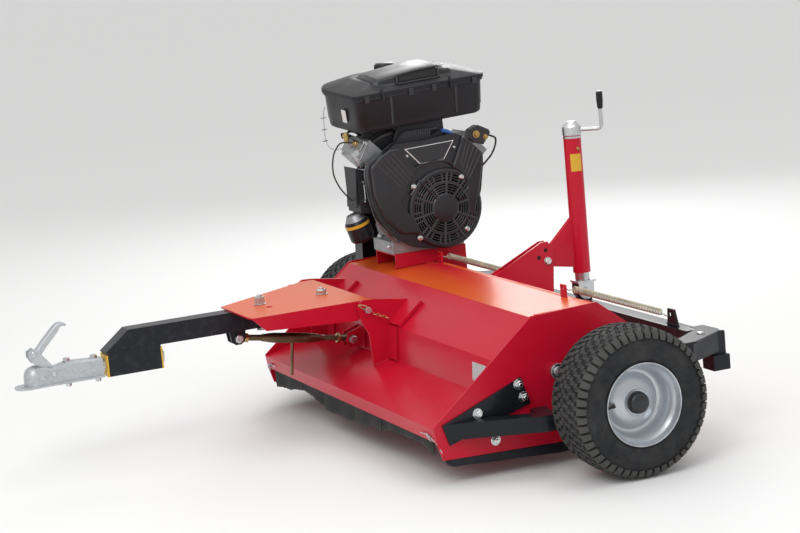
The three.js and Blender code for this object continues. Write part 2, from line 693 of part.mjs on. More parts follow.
// ---- lift springs ----
function spring(name, from, to) {
  const a = new THREE.Vector3(...from), b = new THREE.Vector3(...to);
  const dir = b.clone().sub(a).normalize();
  const length = a.distanceTo(b);
  const g = new THREE.CylinderGeometry(10, 10, length - 40, 14);
  g.translate(0, length / 2, 0);
  const thin = new THREE.CylinderGeometry(3, 3, length - 4, 10).translate(0, length / 2, 0);
  const q = new THREE.Quaternion().setFromUnitVectors(new THREE.Vector3(0, 1, 0), dir);
  const place = (x) => solid(x.applyQuaternion(q).translate(a.x, a.y, a.z));
  part(name, union(place(g), place(thin)), ZINC());
}
spring("lift_spring_near", [486, 34, 454], [531, 331, 336]);
spring("lift_spring_far", [-330, 34, 454], [-379, 331, 336]);

// ---- hitch ----
const HOUSING_TOP = 404;
const housingTop = [
  [-62, -334], [-62, -709], [-90, -714], [-324, -714], [-526, -372], [-526, -334],
];
part(
  "drawbar_housing",
  cut(
    union(
      plate("Z", housingTop.reverse(), HOUSING_TOP - 5, HOUSING_TOP),
      plate("X", [[-381, 345], [-366, 352], [-338, 362], [-334, 400], [-709, 400], [-668, 360]], -68, -62.4),
      plate("X", [[-381, 345], [-340, 352], [-334, 400], [-420, 400]], -526, -520),
    ),
    rod("X", EAR_PIN, 10.4, -540, -50),
    rod("Z", [DRAW_X, -410], 10.4, 380, 420),
    rod("Z", [DRAW_X, -610], 10.4, 380, 420),
    rod("Z", [DRAW_X + 66, -605], 10.4, 380, 420),
  ),
  RED(),
);
for (const [name, x0, x1] of [["hitch_pin_near", -88, -34], ["hitch_pin_far", -560, -506]])
  part(
    name,
    union(rod("X", EAR_PIN, 10, x0, x1, 20), rod("X", EAR_PIN, 15, ...(name.endsWith("near") ? [x0, x0 + 6] : [x1 - 6, x1]), 20)),
    ZINC(),
  );
const BAR_TOP = HOUSING_TOP - 5 - GAP;
const BAR_H = 60;
const barOutline = [[-1110, BAR_TOP - BAR_H], [-388, BAR_TOP - BAR_H], [-388, BAR_TOP], [-1034, BAR_TOP]];
part(
  "drawbar",
  cut(
    union(
      plate("X", barOutline, DRAW_X - 30, DRAW_X + 30),
      block([DRAW_X - 31.5, DRAW_X + 31.5], [-1104, -941], [COUPLER_Z - 31.5, BAR_TOP - BAR_H + 2]),
      ...[-1, 1].map((s) =>
        plate("X", [[-722, BAR_TOP - BAR_H + 1], [-716, 304], [-704, 296], [-688, 296], [-676, 304],
          [-670, BAR_TOP - BAR_H + 1]], TURN_X + s * 17 - 3, TURN_X + s * 17 + 3)),
    ),
    block([DRAW_X - 25, DRAW_X + 25], [-1010, -380], [BAR_TOP - BAR_H + 5, BAR_TOP - 5]),
    rod("Z", [DRAW_X, -410], 10.4, 300, 420),
    rod("Z", [DRAW_X, -610], 10.4, 300, 420),
    rod("Y", [DRAW_X, COUPLER_Z], 20.6, -1120, -930),
    rod("X", LUG_FRONT, 8.3, TURN_X - 40, TURN_X + 40),
  ),
  BLACK(),
);
for (const [name, y, stack] of [["swing_bolt", -410, 12], ["lock_bolt", -610, 24]])
  part(
    name,
    union(
      rod("Z", [DRAW_X, y], 10, BAR_TOP - BAR_H - 12, HOUSING_TOP + 8, 16),
      hexagon("Z", [DRAW_X, y], 30, HOUSING_TOP + GAP, HOUSING_TOP + stack),
      hexagon("Z", [DRAW_X, y], 30, BAR_TOP - BAR_H - 12, BAR_TOP - BAR_H - GAP),
    ),
    ZINC(),
  );

// Coupler: pressed channel with a ball dome, turning on a shank in the block under the drawbar.
const COUPLER_W = 27;
const couplerSide = [
  [-1116, 273], [-1116, 327], [-1222, 332], [-1262, 322], [-1282, 335], [-1302, 341], [-1328, 340], [-1350, 330],
  [-1358, 314], [-1358, 273],
];
part(
  "coupler_body",
  cut(
    union(
      plate("X", couplerSide, DRAW_X - COUPLER_W, DRAW_X + COUPLER_W),
      plate("Z", [[-32, 0], [32, 0], [33, 200], [38, 236], [30, 262], [14, 273], [-14, 273], [-30, 262], [-38, 236],
        [-33, 200]].map(([x, y]) => [x + DRAW_X, -1117 - y]).reverse(), 271, 277),
      ...[-1, 1].map((s) =>
        plate("X", [[-1250, 322], [-1296, 334], [-1335, 362], [-1333, 378], [-1316, 386], [-1300, 376], [-1232, 328]],
          DRAW_X + s * 17 - 2, DRAW_X + s * 17 + 2)),
      rod("Y", [DRAW_X, COUPLER_Z], 20, -1120, -932, 24),
      rod("Y", [DRAW_X, COUPLER_Z], 29, -938, -930, 24),
    ),
    rod("Z", [DRAW_X, -1318], 25.5, 260, 312, 20),
    solid(new THREE.SphereGeometry(25.5, 20, 10).translate(DRAW_X, -1318, 309)),
    block([DRAW_X - 22, DRAW_X + 22], [-1286, -1150], [260, 318]),
    rod("X", [-1316, 369], 6.4, DRAW_X - 30, DRAW_X + 30),
  ),
  ZINC(),
);
part(
  "coupler_lever",
  union(
    plate("X", [[-1322, 376], [-1326, 366], [-1316, 359], [-1304, 364], [-1262, 412], [-1232, 436], [-1214, 436],
      [-1210, 446], [-1222, 458], [-1244, 452], [-1276, 424]], DRAW_X - 14, DRAW_X + 14),
    rod("X", [-1316, 369], 6, DRAW_X - 24, DRAW_X + 24, 16),
  ),
  ZINC(),
);

// ---- turnbuckle between the bar lug and the deck lug ----
const run = new THREE.Vector2(LUG_FRONT[0] - LUG_REAR[0], LUG_FRONT[1] - LUG_REAR[1]);
const SPAN = run.length();
const SLOPE = Math.atan2(run.y, -run.x);
// Geometry drawn along -Y from the rear eye, then sloped up to the front eye.
const onLine = (body) =>
  body.rotate([(-SLOPE * 180) / Math.PI, 0, 0]).translate([TURN_X, LUG_REAR[0], LUG_REAR[1]]);
const eye = (y, hole) =>
  cut(rod("X", [y, 0], 17, -11, 11, 24), rod("X", [y, 0], hole, -14, 14, 20));
part(
  "turnbuckle_rear_end",
  onLine(cut(union(rod("X", [0, 0], 17, -11, 11, 24), rod("Y", [0, 0], 9, -150, -14, 16)),
    rod("X", [0, 0], 8.6, -14, 14, 20))),
  ZINC(),
);
part(
  "turnbuckle_front_end",
  onLine(union(eye(-SPAN, 10.5), rod("Y", [0, 0], 9, -SPAN + 15, -262, 16))),
  ZINC(),
);
part(
  "turnbuckle_sleeve",
  onLine(
    cut(
      union(
        rod("Y", [0, 0], 15, -330, -84, 20),
        hexagon("Y", [0, 0], 34, -342, -328),
        hexagon("Y", [0, 0], 34, -86, -70),
        rod("Z", [0, -206], 5, -118, -10, 12),
      ),
      rod("Y", [0, 0], 9.5, -360, -60, 16),
    ),
  ),
  ZINC(),
);
for (const [name, c] of [["turnbuckle_rear_bolt", LUG_REAR], ["turnbuckle_front_bolt", LUG_FRONT]])
  part(
    name,
    union(
      rod("X", c, 8, TURN_X - 30, TURN_X + 30, 16),
      hexagon("X", c, 24, TURN_X + 21.4, TURN_X + 31),
      hexagon("X", c, 24, TURN_X - 31, TURN_X - 21.4),
    ),
    ZINC(),
  );

export default root;
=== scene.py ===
"""Looks of the towed flail mower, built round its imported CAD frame. Lengths in the code are millimetres."""
import json
import math
import random

import bmesh
import bpy
from mathutils import Matrix, Vector, noise

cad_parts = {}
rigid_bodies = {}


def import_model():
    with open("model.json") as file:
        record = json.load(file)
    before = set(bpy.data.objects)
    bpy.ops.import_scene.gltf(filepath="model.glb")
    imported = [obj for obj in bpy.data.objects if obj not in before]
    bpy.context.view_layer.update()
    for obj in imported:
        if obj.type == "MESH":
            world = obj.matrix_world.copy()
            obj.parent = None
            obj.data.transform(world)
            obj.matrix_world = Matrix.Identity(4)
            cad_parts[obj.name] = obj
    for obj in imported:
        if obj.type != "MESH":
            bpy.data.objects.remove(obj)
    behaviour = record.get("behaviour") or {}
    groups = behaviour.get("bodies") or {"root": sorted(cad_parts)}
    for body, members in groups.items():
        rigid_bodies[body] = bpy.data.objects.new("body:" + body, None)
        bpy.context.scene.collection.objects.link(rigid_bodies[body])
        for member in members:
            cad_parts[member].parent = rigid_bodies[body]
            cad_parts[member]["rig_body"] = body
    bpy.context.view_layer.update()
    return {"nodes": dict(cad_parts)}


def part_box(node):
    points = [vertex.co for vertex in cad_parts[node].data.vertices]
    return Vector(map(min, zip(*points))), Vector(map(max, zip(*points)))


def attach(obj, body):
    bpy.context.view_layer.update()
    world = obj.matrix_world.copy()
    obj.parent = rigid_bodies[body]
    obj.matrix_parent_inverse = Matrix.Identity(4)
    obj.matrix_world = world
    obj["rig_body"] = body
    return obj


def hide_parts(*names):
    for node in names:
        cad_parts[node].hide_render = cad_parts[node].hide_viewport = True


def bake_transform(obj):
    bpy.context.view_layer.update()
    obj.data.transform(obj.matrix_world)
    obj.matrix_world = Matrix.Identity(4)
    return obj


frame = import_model()
rng = random.Random(7)
TAU = 2 * math.pi

# Y in this script is measured from the wheel axle, as in the CAD source; P() turns it into the frame.
rim_lo, rim_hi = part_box("rim_near")
AXLE_Y = (rim_lo.y + rim_hi.y) / 2


def P(x, y, z):
    return Vector((x / 1000, y / 1000 + AXLE_Y, z / 1000))


# ---------------------------------------------------------------- camera, light, floor
SENSOR, LENS = 36.0, 97.87
CAMERA_AT = (5814.92, -2756.87, 1570.26)
CAMERA_RIGHT = (0.40700, 0.90926, -0.08713)
CAMERA_UP = (-0.11791, 0.14689, 0.98210)
CAMERA_LOOK = (-0.90578, 0.38945, -0.16700)
FLOOR_RADIUS = 45


def camera():
    data = bpy.data.cameras.new("camera")
    cam = bpy.data.objects.new("camera", data)
    bpy.context.scene.collection.objects.link(cam)
    bpy.context.scene.camera = cam
    data.sensor_width, data.lens = SENSOR, LENS
    data.clip_start, data.clip_end = 0.1, 60
    m = Matrix((CAMERA_RIGHT, CAMERA_UP, [-v for v in CAMERA_LOOK])).transposed().to_4x4()
    m.translation = P(*CAMERA_AT)
    cam.matrix_world = m


def area_light(name, at, target, size, power, color=(1, 1, 1)):
    data = bpy.data.lights.new(name, "AREA")
    data.shape, data.size, data.size_y = "RECTANGLE", size[0], size[1]
    data.energy, data.color = power, color
    lamp = bpy.data.objects.new(name, data)
    bpy.context.scene.collection.objects.link(lamp)
    lamp.location = at
    lamp.rotation_euler = (Vector(target) - Vector(at)).to_track_quat("-Z", "Y").to_euler()


def studio():
    world = bpy.data.worlds.new("world")
    bpy.context.scene.world = world
    world.use_nodes = True
    tree = world.node_tree
    bg = tree.nodes["Background"]
    coord = tree.nodes.new("ShaderNodeTexCoord")
    split = tree.nodes.new("ShaderNodeSeparateXYZ")
    ramp = tree.nodes.new("ShaderNodeValToRGB")
    ramp.color_ramp.elements[0].position, ramp.color_ramp.elements[0].color = 0.40, (0.8, 0.8, 0.8, 1)
    ramp.color_ramp.elements[1].position, ramp.color_ramp.elements[1].color = 0.75, (1, 1, 1, 1)
    tree.links.new(coord.outputs["Generated"], split.inputs[0])
    tree.links.new(split.outputs["Z"], ramp.inputs[0])
    tree.links.new(ramp.outputs[0], bg.inputs["Color"])
    bg.inputs["Strength"].default_value = 0.82
    area_light("key", (3.2, -2.6, 3.9), (0, 0, 0.4), (2.6, 2.6), 92)
    area_light("overhead", (0.2, 0.6, 4.2), (0, 0, 0.3), (4.0, 3.0), 34)
    area_light("rim", (-3.4, 2.4, 2.6), (0, 0, 0.5), (1.6, 2.4), 45)
    bpy.context.scene.view_settings.view_transform = "Standard"


def floor():
    bm = bmesh.new()
    bmesh.ops.create_circle(bm, cap_ends=True, radius=FLOOR_RADIUS, segments=96)
    mesh = bpy.data.meshes.new("floor")
    bm.to_mesh(mesh)
    bm.free()
    ground = bpy.data.objects.new("floor", mesh)
    bpy.context.scene.collection.objects.link(ground)
    mat = bpy.data.materials.new("floor")
    mat.use_nodes = True
    shader = mat.node_tree.nodes["Principled BSDF"]
    shader.inputs["Base Color"].default_value = (0.86, 0.86, 0.855, 1)
    shader.inputs["Roughness"].default_value = 0.85
    mesh.materials.append(mat)


# ---------------------------------------------------------------- materials
class Graph:
    """Small helper to wire one Principled material."""

    def __init__(self, name, metallic=0.0, coat=0.0):
        self.mat = bpy.data.materials.new(name)
        self.mat.use_nodes = True
        self.tree = self.mat.node_tree
        self.shader = self.tree.nodes["Principled BSDF"]
        self.shader.inputs["Metallic"].default_value = metallic
        self.shader.inputs["Coat Weight"].default_value = coat
        self.shader.inputs["Coat Roughness"].default_value = 0.12
        self.shader.inputs["Specular IOR Level"].default_value = 0.35
        self.coord = self.add("ShaderNodeTexCoord").outputs["Object"]

    def add(self, kind, **values):
        node = self.tree.nodes.new(kind)
        for k, v in values.items():
            setattr(node, k, v)
        return node

    def link(self, a, b):
        self.tree.links.new(a, b)

    def noise(self, scale, detail=4, rough=0.55, stretch=None):
        n = self.add("ShaderNodeTexNoise")
        n.inputs["Scale"].default_value = scale
        n.inputs["Detail"].default_value = detail
        n.inputs["Roughness"].default_value = rough
        source = self.coord
        if stretch:
            m = self.add("ShaderNodeMapping")
            m.inputs["Scale"].default_value = stretch
            self.link(source, m.inputs[0])
            source = m.outputs[0]
        self.link(source, n.inputs["Vector"])
        return n.outputs["Fac"]

    def ramp(self, value, low, high, a=0.0, b=1.0):
        r = self.add("ShaderNodeMapRange")
        self.link(value, r.inputs["Value"])
        for k, v in (("From Min", low), ("From Max", high), ("To Min", a), ("To Max", b)):
            r.inputs[k].default_value = v
        return r.outputs[0]

    def math(self, op, a, b):
        m = self.add("ShaderNodeMath", operation=op)
        for i, v in enumerate((a, b)):
            if isinstance(v, (int, float)):
                m.inputs[i].default_value = v
            else:
                self.link(v, m.inputs[i])
        return m.outputs[0]

    def mix(self, fac, a, b):
        m = self.add("ShaderNodeMix", data_type="RGBA")
        for socket, v in ((m.inputs[0], fac), (m.inputs[6], a), (m.inputs[7], b)):
            if isinstance(v, tuple):
                socket.default_value = (*v, 1)
            elif isinstance(v, (int, float)):
                socket.default_value = v
            else:
                self.link(v, socket)
        return m.outputs[2]

    def up(self):
        g = self.add("ShaderNodeNewGeometry")
        s = self.add("ShaderNodeSeparateXYZ")
        self.link(g.outputs["Normal"], s.inputs[0])
        return s.outputs["Z"]

    def edge(self, low=0.52, high=0.60):
        g = self.add("ShaderNodeNewGeometry")
        return self.ramp(g.outputs["Pointiness"], low, high)

    def bump(self, height, strength, distance=0.001, after=None):
        b = self.add("ShaderNodeBump")
        b.inputs["Strength"].default_value = strength
        b.inputs["Distance"].default_value = distance
        self.link(height, b.inputs["Height"])
        if after is not None:
            self.link(after, b.inputs["Normal"])
        return b.outputs[0]

    def done(self, color, roughness, normal=None):
        self.link(color, self.shader.inputs["Base Color"])
        if isinstance(roughness, (int, float)):
            self.shader.inputs["Roughness"].default_value = roughness
        else:
            self.link(roughness, self.shader.inputs["Roughness"])
        if normal is not None:
            self.link(normal, self.shader.inputs["Normal"])
        return self.mat


DUST = (0.34, 0.31, 0.27)


def coated(name, dark, light, rough=0.3, coat=0.5, dust=0.25, chip=(0.3, 0.3, 0.3), chips=0.35, peel=0.12, painted_top_highlight=None,
    metallic=0.0, shine=0.35):
    """Powder coat or paint: cloudy tone, orange peel, dust on upward faces, worn edges, optional painted highlight on
    flat tops.
    """
    g = Graph(name, metallic, coat)
    g.shader.inputs["Specular IOR Level"].default_value = shine
    cloud = g.ramp(g.noise(1.6, 2), 0.2, 0.8)
    base = g.mix(cloud, dark, light)
    # painted highlight: faces that point straight up are mixed towards a lighter orange, as if lit more strongly
    if painted_top_highlight:
        base = g.mix(g.ramp(g.up(), 0.985, 0.9995, 0.0, 0.9), base, painted_top_highlight)
    specks = g.ramp(g.noise(75, 8, 0.7), 0.60, 0.72)
    facing = g.ramp(g.up(), 0.15, 0.95)
    grime = g.math("MULTIPLY", g.math("MULTIPLY", g.ramp(g.noise(7, 8, 0.65), 0.42, 0.72), facing), dust)
    base = g.mix(grime, base, DUST)
    worn = g.math("MULTIPLY", g.math("MULTIPLY", g.edge(), g.ramp(g.noise(38, 6), 0.5, 0.62)), chips)
    base = g.mix(worn, base, chip)
    base = g.mix(g.math("MULTIPLY", specks, dust * 0.25), base, DUST)
    smear = g.ramp(g.noise(5, 4), 0.2, 0.8, rough * 0.92, rough * 1.12)
    rough_out = g.math("ADD", smear, g.math("MULTIPLY", grime, 0.5))
    normal = g.bump(g.noise(320, 2), peel, 0.0006)
    normal = g.bump(g.noise(3.0, 2), 0.02, 0.006, normal)
    return g.done(base, rough_out, normal)


def plastic(name, base, rough=0.5, grain=900, dust=0.3, bump=0.25):
    g = Graph(name)
    tone = g.mix(g.ramp(g.noise(6, 4), 0.3, 0.7), tuple(c * 0.8 for c in base), tuple(c * 1.25 for c in base))
    facing = g.ramp(g.up(), 0.0, 0.9)
    grime = g.math("MULTIPLY", g.math("MULTIPLY", g.ramp(g.noise(9, 8, 0.7), 0.38, 0.75), facing), dust)
    color = g.mix(grime, tone, DUST)
    color = g.mix(g.math("MULTIPLY", g.edge(0.53, 0.66), 0.2), color, (0.2, 0.2, 0.21))
    rough_out = g.math("ADD", g.ramp(g.noise(14, 5), 0.3, 0.7, rough - 0.08, rough + 0.08), g.math("MULTIPLY", grime,
        0.5))
    return g.done(color, rough_out, g.bump(g.noise(grain, 2, 0.5), bump, 0.0004))


def metal(name, dark, light, rough=0.35, metallic=1.0, brushed=None, grain=260, bump=0.1, stain=0.2,
    stain_color=(0.12, 0.10, 0.08)):
    g = Graph(name, metallic=metallic)
    tone = g.mix(g.ramp(g.noise(18, 6), 0.3, 0.7), dark, light)
    spots = g.math("MULTIPLY", g.ramp(g.noise(42, 8, 0.7), 0.55, 0.75), stain)
    tone = g.mix(spots, tone, stain_color)
    rough_out = g.math("ADD", g.ramp(g.noise(30, 5, stretch=brushed), 0.3, 0.7, rough * 0.75, rough * 1.3),
        g.math("MULTIPLY", spots, 0.4))
    return g.done(tone, rough_out, g.bump(g.noise(grain, 3, stretch=brushed), bump, 0.0005))


def galvanised():
    g = Graph("galvanised", metallic=0.75)
    v = g.add("ShaderNodeTexVoronoi", feature="F1")
    v.inputs["Scale"].default_value = 160
    g.link(g.coord, v.inputs["Vector"])
    spangle = g.add("ShaderNodeSeparateColor")
    g.link(v.outputs["Color"], spangle.inputs[0])
    tone = g.mix(g.ramp(spangle.outputs[0], 0.0, 1.0), (0.47, 0.49, 0.51), (0.56, 0.58, 0.60))
    tone = g.mix(g.ramp(g.noise(12, 6), 0.45, 0.75, 0, 0.35), tone, (0.66, 0.69, 0.70))
    rough = g.ramp(spangle.outputs[1], 0, 1, 0.38, 0.6)
    return g.done(tone, rough, g.bump(g.noise(60, 4), 0.18, 0.0012))


def tyre_rubber():
    g = Graph("tyre")
    tone = g.mix(g.ramp(g.noise(9, 5), 0.3, 0.7), (0.010, 0.011, 0.013), (0.019, 0.020, 0.023))
    soil = g.math("MULTIPLY", g.ramp(g.noise(16, 9, 0.72), 0.44, 0.68), 0.16)
    tone = g.mix(soil, tone, (0.16, 0.15, 0.135))
    tone = g.mix(g.math("MULTIPLY", g.edge(0.53, 0.62), 0.35), tone, (0.14, 0.135, 0.125))
    return g.done(tone, g.ramp(g.noise(20, 5), 0.3, 0.7, 0.62, 0.9), g.bump(g.noise(420, 4), 0.3, 0.0006))


MAT = {
    # the red paint gets a painted highlight: a lighter orange on its upward faces
    "red": coated("red_paint", (0.50, 0.004, 0.022), (0.56, 0.006, 0.028), rough=0.30, coat=0.12, dust=0.02,
        shine=0.22, chip=(0.6, 0.2, 0.2), chips=0.03, painted_top_highlight=(0.74, 0.115, 0.012)),
    "black": coated("black_paint", (0.007, 0.008, 0.012), (0.011, 0.013, 0.018), rough=0.30, coat=0.12, dust=0.03,
        shine=0.22, chip=(0.2, 0.21, 0.23), chips=0.06),
    "plastic": plastic("black_plastic", (0.009, 0.010, 0.013), rough=0.42, dust=0.06),
    "smooth_plastic": plastic("smooth_plastic", (0.007, 0.008, 0.011), rough=0.34, dust=0.04, bump=0.1),
    "rubber": plastic("rubber", (0.014, 0.014, 0.014), rough=0.7, grain=300, dust=0.4, bump=0.5),
    "zinc": metal("zinc", (0.48, 0.49, 0.50), (0.72, 0.73, 0.74), rough=0.3),
    "yellow_zinc": metal("yellow_zinc", (0.42, 0.33, 0.16), (0.66, 0.55, 0.30), rough=0.35),
    "bronze": metal("bronze", (0.12, 0.09, 0.055), (0.24, 0.18, 0.10), rough=0.42, stain=0.5),
    "steel": metal("bare_steel", (0.12, 0.12, 0.12), (0.30, 0.29, 0.28), rough=0.5, stain=0.6,
        stain_color=(0.10, 0.055, 0.03)),
    "cast": metal("cast_metal", (0.07, 0.07, 0.072), (0.14, 0.14, 0.145), rough=0.6, metallic=0.6, grain=180,
        bump=0.5),
    "alloy": metal("alloy", (0.26, 0.265, 0.27), (0.42, 0.43, 0.44), rough=0.5, metallic=0.85, grain=220, bump=0.4),
    "galvanised": galvanised(),
    "tyre": tyre_rubber(),
    "rim": coated("silver_rim", (0.52, 0.55, 0.59), (0.62, 0.65, 0.69), rough=0.28, coat=0.3, dust=0.2, metallic=0.7,
        chip=(0.2, 0.18, 0.16), chips=0.5),
    # flat black with no shine: painted shade, put where openings and hollows look dark
    "painted_shade_black": plastic("painted_recess_shade", (0.004, 0.004, 0.004), rough=0.8, dust=0.0),
    "brass": metal("brass", (0.45, 0.30, 0.10), (0.66, 0.48, 0.20), rough=0.35),
    "spring": metal("spring_zinc", (0.50, 0.47, 0.36), (0.70, 0.66, 0.52), rough=0.42, metallic=0.55, bump=0.05),
    "chrome": metal("chrome", (0.62, 0.63, 0.64), (0.82, 0.83, 0.84), rough=0.16, stain=0.08, bump=0.04),
    "blue": coated("blue_plastic", (0.02, 0.09, 0.32), (0.04, 0.14, 0.42), rough=0.5, coat=0.1, dust=0.2,
        chip=(0.2, 0.2, 0.3), chips=0.1),
    "plate_grey": coated("plate_grey", (0.40, 0.41, 0.42), (0.52, 0.53, 0.54), rough=0.35, coat=0.2, dust=0.2,
        chips=0.1),
    "pale": coated("pale_label", (0.62, 0.62, 0.61), (0.72, 0.72, 0.70), rough=0.45, coat=0.1, dust=0.2, chips=0.1),
    "yellow": coated("yellow_plastic", (0.62, 0.36, 0.02), (0.78, 0.47, 0.04), rough=0.45, coat=0.1, dust=0.15,
        chip=(0.5, 0.35, 0.1), chips=0.2),
}

MAT["smooth_plastic"].node_tree.nodes["Principled BSDF"].inputs["Specular IOR Level"].default_value = 0.6
# no shine at all, so the painted shade stays flat black
MAT["painted_shade_black"].node_tree.nodes["Principled BSDF"].inputs["Specular IOR Level"].default_value = 0.0


# ---------------------------------------------------------------- mesh helpers
def finish_object(name, bm, mat, body, bevel=0.0, segments=2, smooth=35, replaces=(), angle=32):
    bmesh.ops.remove_doubles(bm, verts=bm.verts, dist=1e-6)
    bmesh.ops.recalc_face_normals(bm, faces=bm.faces)
    mesh = bpy.data.meshes.new(name)
    bm.to_mesh(mesh)
    bm.free()
    o = bpy.data.objects.new(name, mesh)
    bpy.context.scene.collection.objects.link(o)
    mesh.materials.append(MAT[mat] if isinstance(mat, str) else mat)
    if bevel:
        m = o.modifiers.new("bevel", "BEVEL")
        m.width, m.segments, m.limit_method, m.angle_limit = bevel / 1000, segments, "ANGLE", math.radians(angle)
        m.harden_normals = True
        m.use_clamp_overlap = True
    if smooth:
        for f in mesh.polygons:
            f.use_smooth = True
        mesh.set_sharp_from_angle(angle=math.radians(smooth))
    if body:
        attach(o, body)
    if replaces:
        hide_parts(*replaces)
    return o


AXES = {"X": (1, 2, 0), "Y": (2, 0, 1), "Z": (0, 1, 2)}


def place(axis, a, b, h):
    """A point from two coordinates across an axis (X: y,z; Y: z,x; Z: x,y) and one along it."""
    i, j, k = AXES[axis]
    v = [0, 0, 0]
    v[i], v[j], v[k] = a, b, h
    return P(*v)


def circle(a, b, r, n=48):
    return [(a + r * math.cos(TAU * i / n), b + r * math.sin(TAU * i / n)) for i in range(n)]


def skin(bm, rings, closed=True, caps=False):
    """Quads between neighbouring rows of vertices; rows are rings unless closed is off."""
    for p, q in zip(rings, rings[1:]):
        for i in range(len(p) if closed else len(p) - 1):
            j = (i + 1) % len(p)
            bm.faces.new((p[i], p[j], q[j], q[i]))
    if caps:
        bm.faces.new(rings[0])
        bm.faces.new(rings[-1])


def prism(bm, axis, outline, h0, h1):
    skin(bm, [[bm.verts.new(place(axis, a, b, h)) for a, b in outline] for h in (h0, h1)], caps=True)


def revolve(bm, axis, centre, profile, n=48):
    """Profile of (radius, along) turned round an axis; points on the axis become caps."""
    rings = []
    for r, h in profile:
        outline = [centre] if r < 1e-6 else circle(*centre, r, n)
        rings.append([bm.verts.new(place(axis, a, b, h)) for a, b in outline])
    for p, q in zip(rings, rings[1:]):
        for i in range(n):
            j = (i + 1) % n
            if len(p) == 1 and len(q) == 1:
                continue
            if len(p) == 1:
                bm.faces.new((p[0], q[i], q[j]))
            elif len(q) == 1:
                bm.faces.new((p[i], p[j], q[0]))
            else:
                bm.faces.new((p[i], p[j], q[j], q[i]))


def spline(points, per=8):
    """Catmull-Rom through the points."""
    pts = [Vector(p) for p in points]
    ext = [pts[0] * 2 - pts[1], *pts, pts[-1] * 2 - pts[-2]]
    out = []
    for i in range(1, len(ext) - 2):
        a, b, c, d = ext[i - 1:i + 3]
        for k in range(per):
            t = k / per
            out.append(0.5 * ((2 * b) + (c - a) * t + (2 * a - 5 * b + 4 * c - d) * t * t + (3 * b - a - 3 * c + d)
                * t ** 3))
    out.append(pts[-1])
    return out


def sweep(bm, points, radius, n=12):
    """Round bar along points in mm; radius is one value or one per point."""
    pts = [P(*p) for p in points]
    tangent = [(pts[min(i + 1, len(pts) - 1)] - pts[max(i - 1, 0)]).normalized() for i in range(len(pts))]
    ref = tangent[0].orthogonal().normalized()
    rings = []
    for i, p in enumerate(pts):
        ref = (ref - tangent[i] * ref.dot(tangent[i])).normalized()
        other = tangent[i].cross(ref)
        r = radius[i] if isinstance(radius, (list, tuple)) else radius
        rings.append([bm.verts.new(p + (ref * a + other * b) * (r / 1000)) for a, b in circle(0, 0, 1, n)])
    skin(bm, rings)
    bm.faces.new(rings[0])
    bm.faces.new(list(reversed(rings[-1])))


def hexagon(bm, at, normal, across, height, washer=0.0, stud=0.0, sides=6, turn=0.3):
    """Hex head or nut with a chamfered top, optional washer under it and stud through it."""
    normal = Vector(normal).normalized()
    u = normal.orthogonal().normalized()
    v = normal.cross(u)
    base = P(*at)

    def ring(r, h, n, spin=0.0):
        return [bm.verts.new(base + (u * math.cos(TAU * i / n + spin) + v * math.sin(TAU * i / n + spin)) * (r / 1000)
            + normal * (h / 1000)) for i in range(n)]

    def stack(levels, n, spin=0.0):
        skin(bm, [ring(r, h, n, spin) for r, h in levels], caps=True)

    r = across / math.sqrt(3)
    lift = 0.0
    if washer:
        lift = max(1.6, washer * 0.07)
        w = washer / 2
        stack([(w * 0.96, 0), (w, 0.4), (w, lift - 0.4), (w * 0.96, lift)], 28)
    if sides == 6:
        stack([(r, lift), (r, lift + height * 0.82), (r * 0.86, lift + height)], 6, turn)
    else:
        stack([(r, lift), (r, lift + height * 0.5), (r * 0.8, lift + height * 0.85), (r * 0.4, lift + height)], 24)
    if stud:
        stack([(across * 0.29, lift + height * 0.5), (across * 0.29, lift + height + stud - 1),
            (across * 0.24, lift + height + stud)], 16)


def shell_of(bm, outer, inner):
    """Two open skins a sheet's thickness apart, joined along all four edges."""
    for rows in (outer, inner, [outer[0], inner[0]], [outer[-1], inner[-1]]):
        skin(bm, rows, closed=False)
    for i in (0, -1):
        skin(bm, [[row[i] for row in rows] for rows in (outer, inner)], closed=False)


def softened(node, mat, bevel=1.6, segments=2, name=None, smooth=35, angle=32):
    """The CAD solid with its edges rounded as pressed, cut or cast metal has them."""
    source = frame["nodes"][node]
    bm = bmesh.new()
    bm.from_mesh(source.data)
    bmesh.ops.remove_doubles(bm, verts=bm.verts, dist=2e-5)
    bmesh.ops.dissolve_limit(bm, angle_limit=math.radians(1.0), verts=bm.verts, edges=bm.edges)
    return finish_object(name or node + "_skin", bm, mat, source["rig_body"], bevel, segments, smooth,
        replaces=(node,), angle=angle)


camera()
studio()
floor()

BODY = {name: node["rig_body"] for name, node in frame["nodes"].items()}
DECK, HITCH = BODY["deck_hood"], BODY["drawbar_housing"]


def piece(name, mat, body, build, **look):
    """One object from a function that fills a mesh."""
    bm = bmesh.new()
    build(bm)
    return finish_object(name, bm, mat, body, **look)


def turned(name, mat, body, axis, centre, profile, n=48, **look):
    return piece(name, mat, body, lambda bm: revolve(bm, axis, centre, profile, n), **look)


def cut(name, mat, body, axis, outline, h0, h1, **look):
    return piece(name, mat, body, lambda bm: prism(bm, axis, outline, h0, h1), **look)


def made(mat, body, **look):
    """Decorator: builds the piece that the function below it is named after."""
    return lambda build: piece(build.__name__, mat, body, build, **look)


def bolts(name, mat, body, rows, smooth=30):
    """Hex or domed fasteners: each row is (at, normal, across, height, washer, stud, sides)."""
    bm = bmesh.new()
    for at, normal, across, height, washer, stud, sides in rows:
        hexagon(bm, at, normal, across, height, washer, stud, sides, rng.uniform(0, 1))
    return finish_object(name, bm, mat, body, 0.3, 1, smooth)


def slab(bm, points, normal, thick):
    """Flat plate from corner points in mm, thickened along a normal."""
    n = Vector(normal).normalized() * (thick / 1000)
    low = [bm.verts.new(P(*p)) for p in points]
    skin(bm, [low, [bm.verts.new(v.co + n) for v in low]], caps=True)


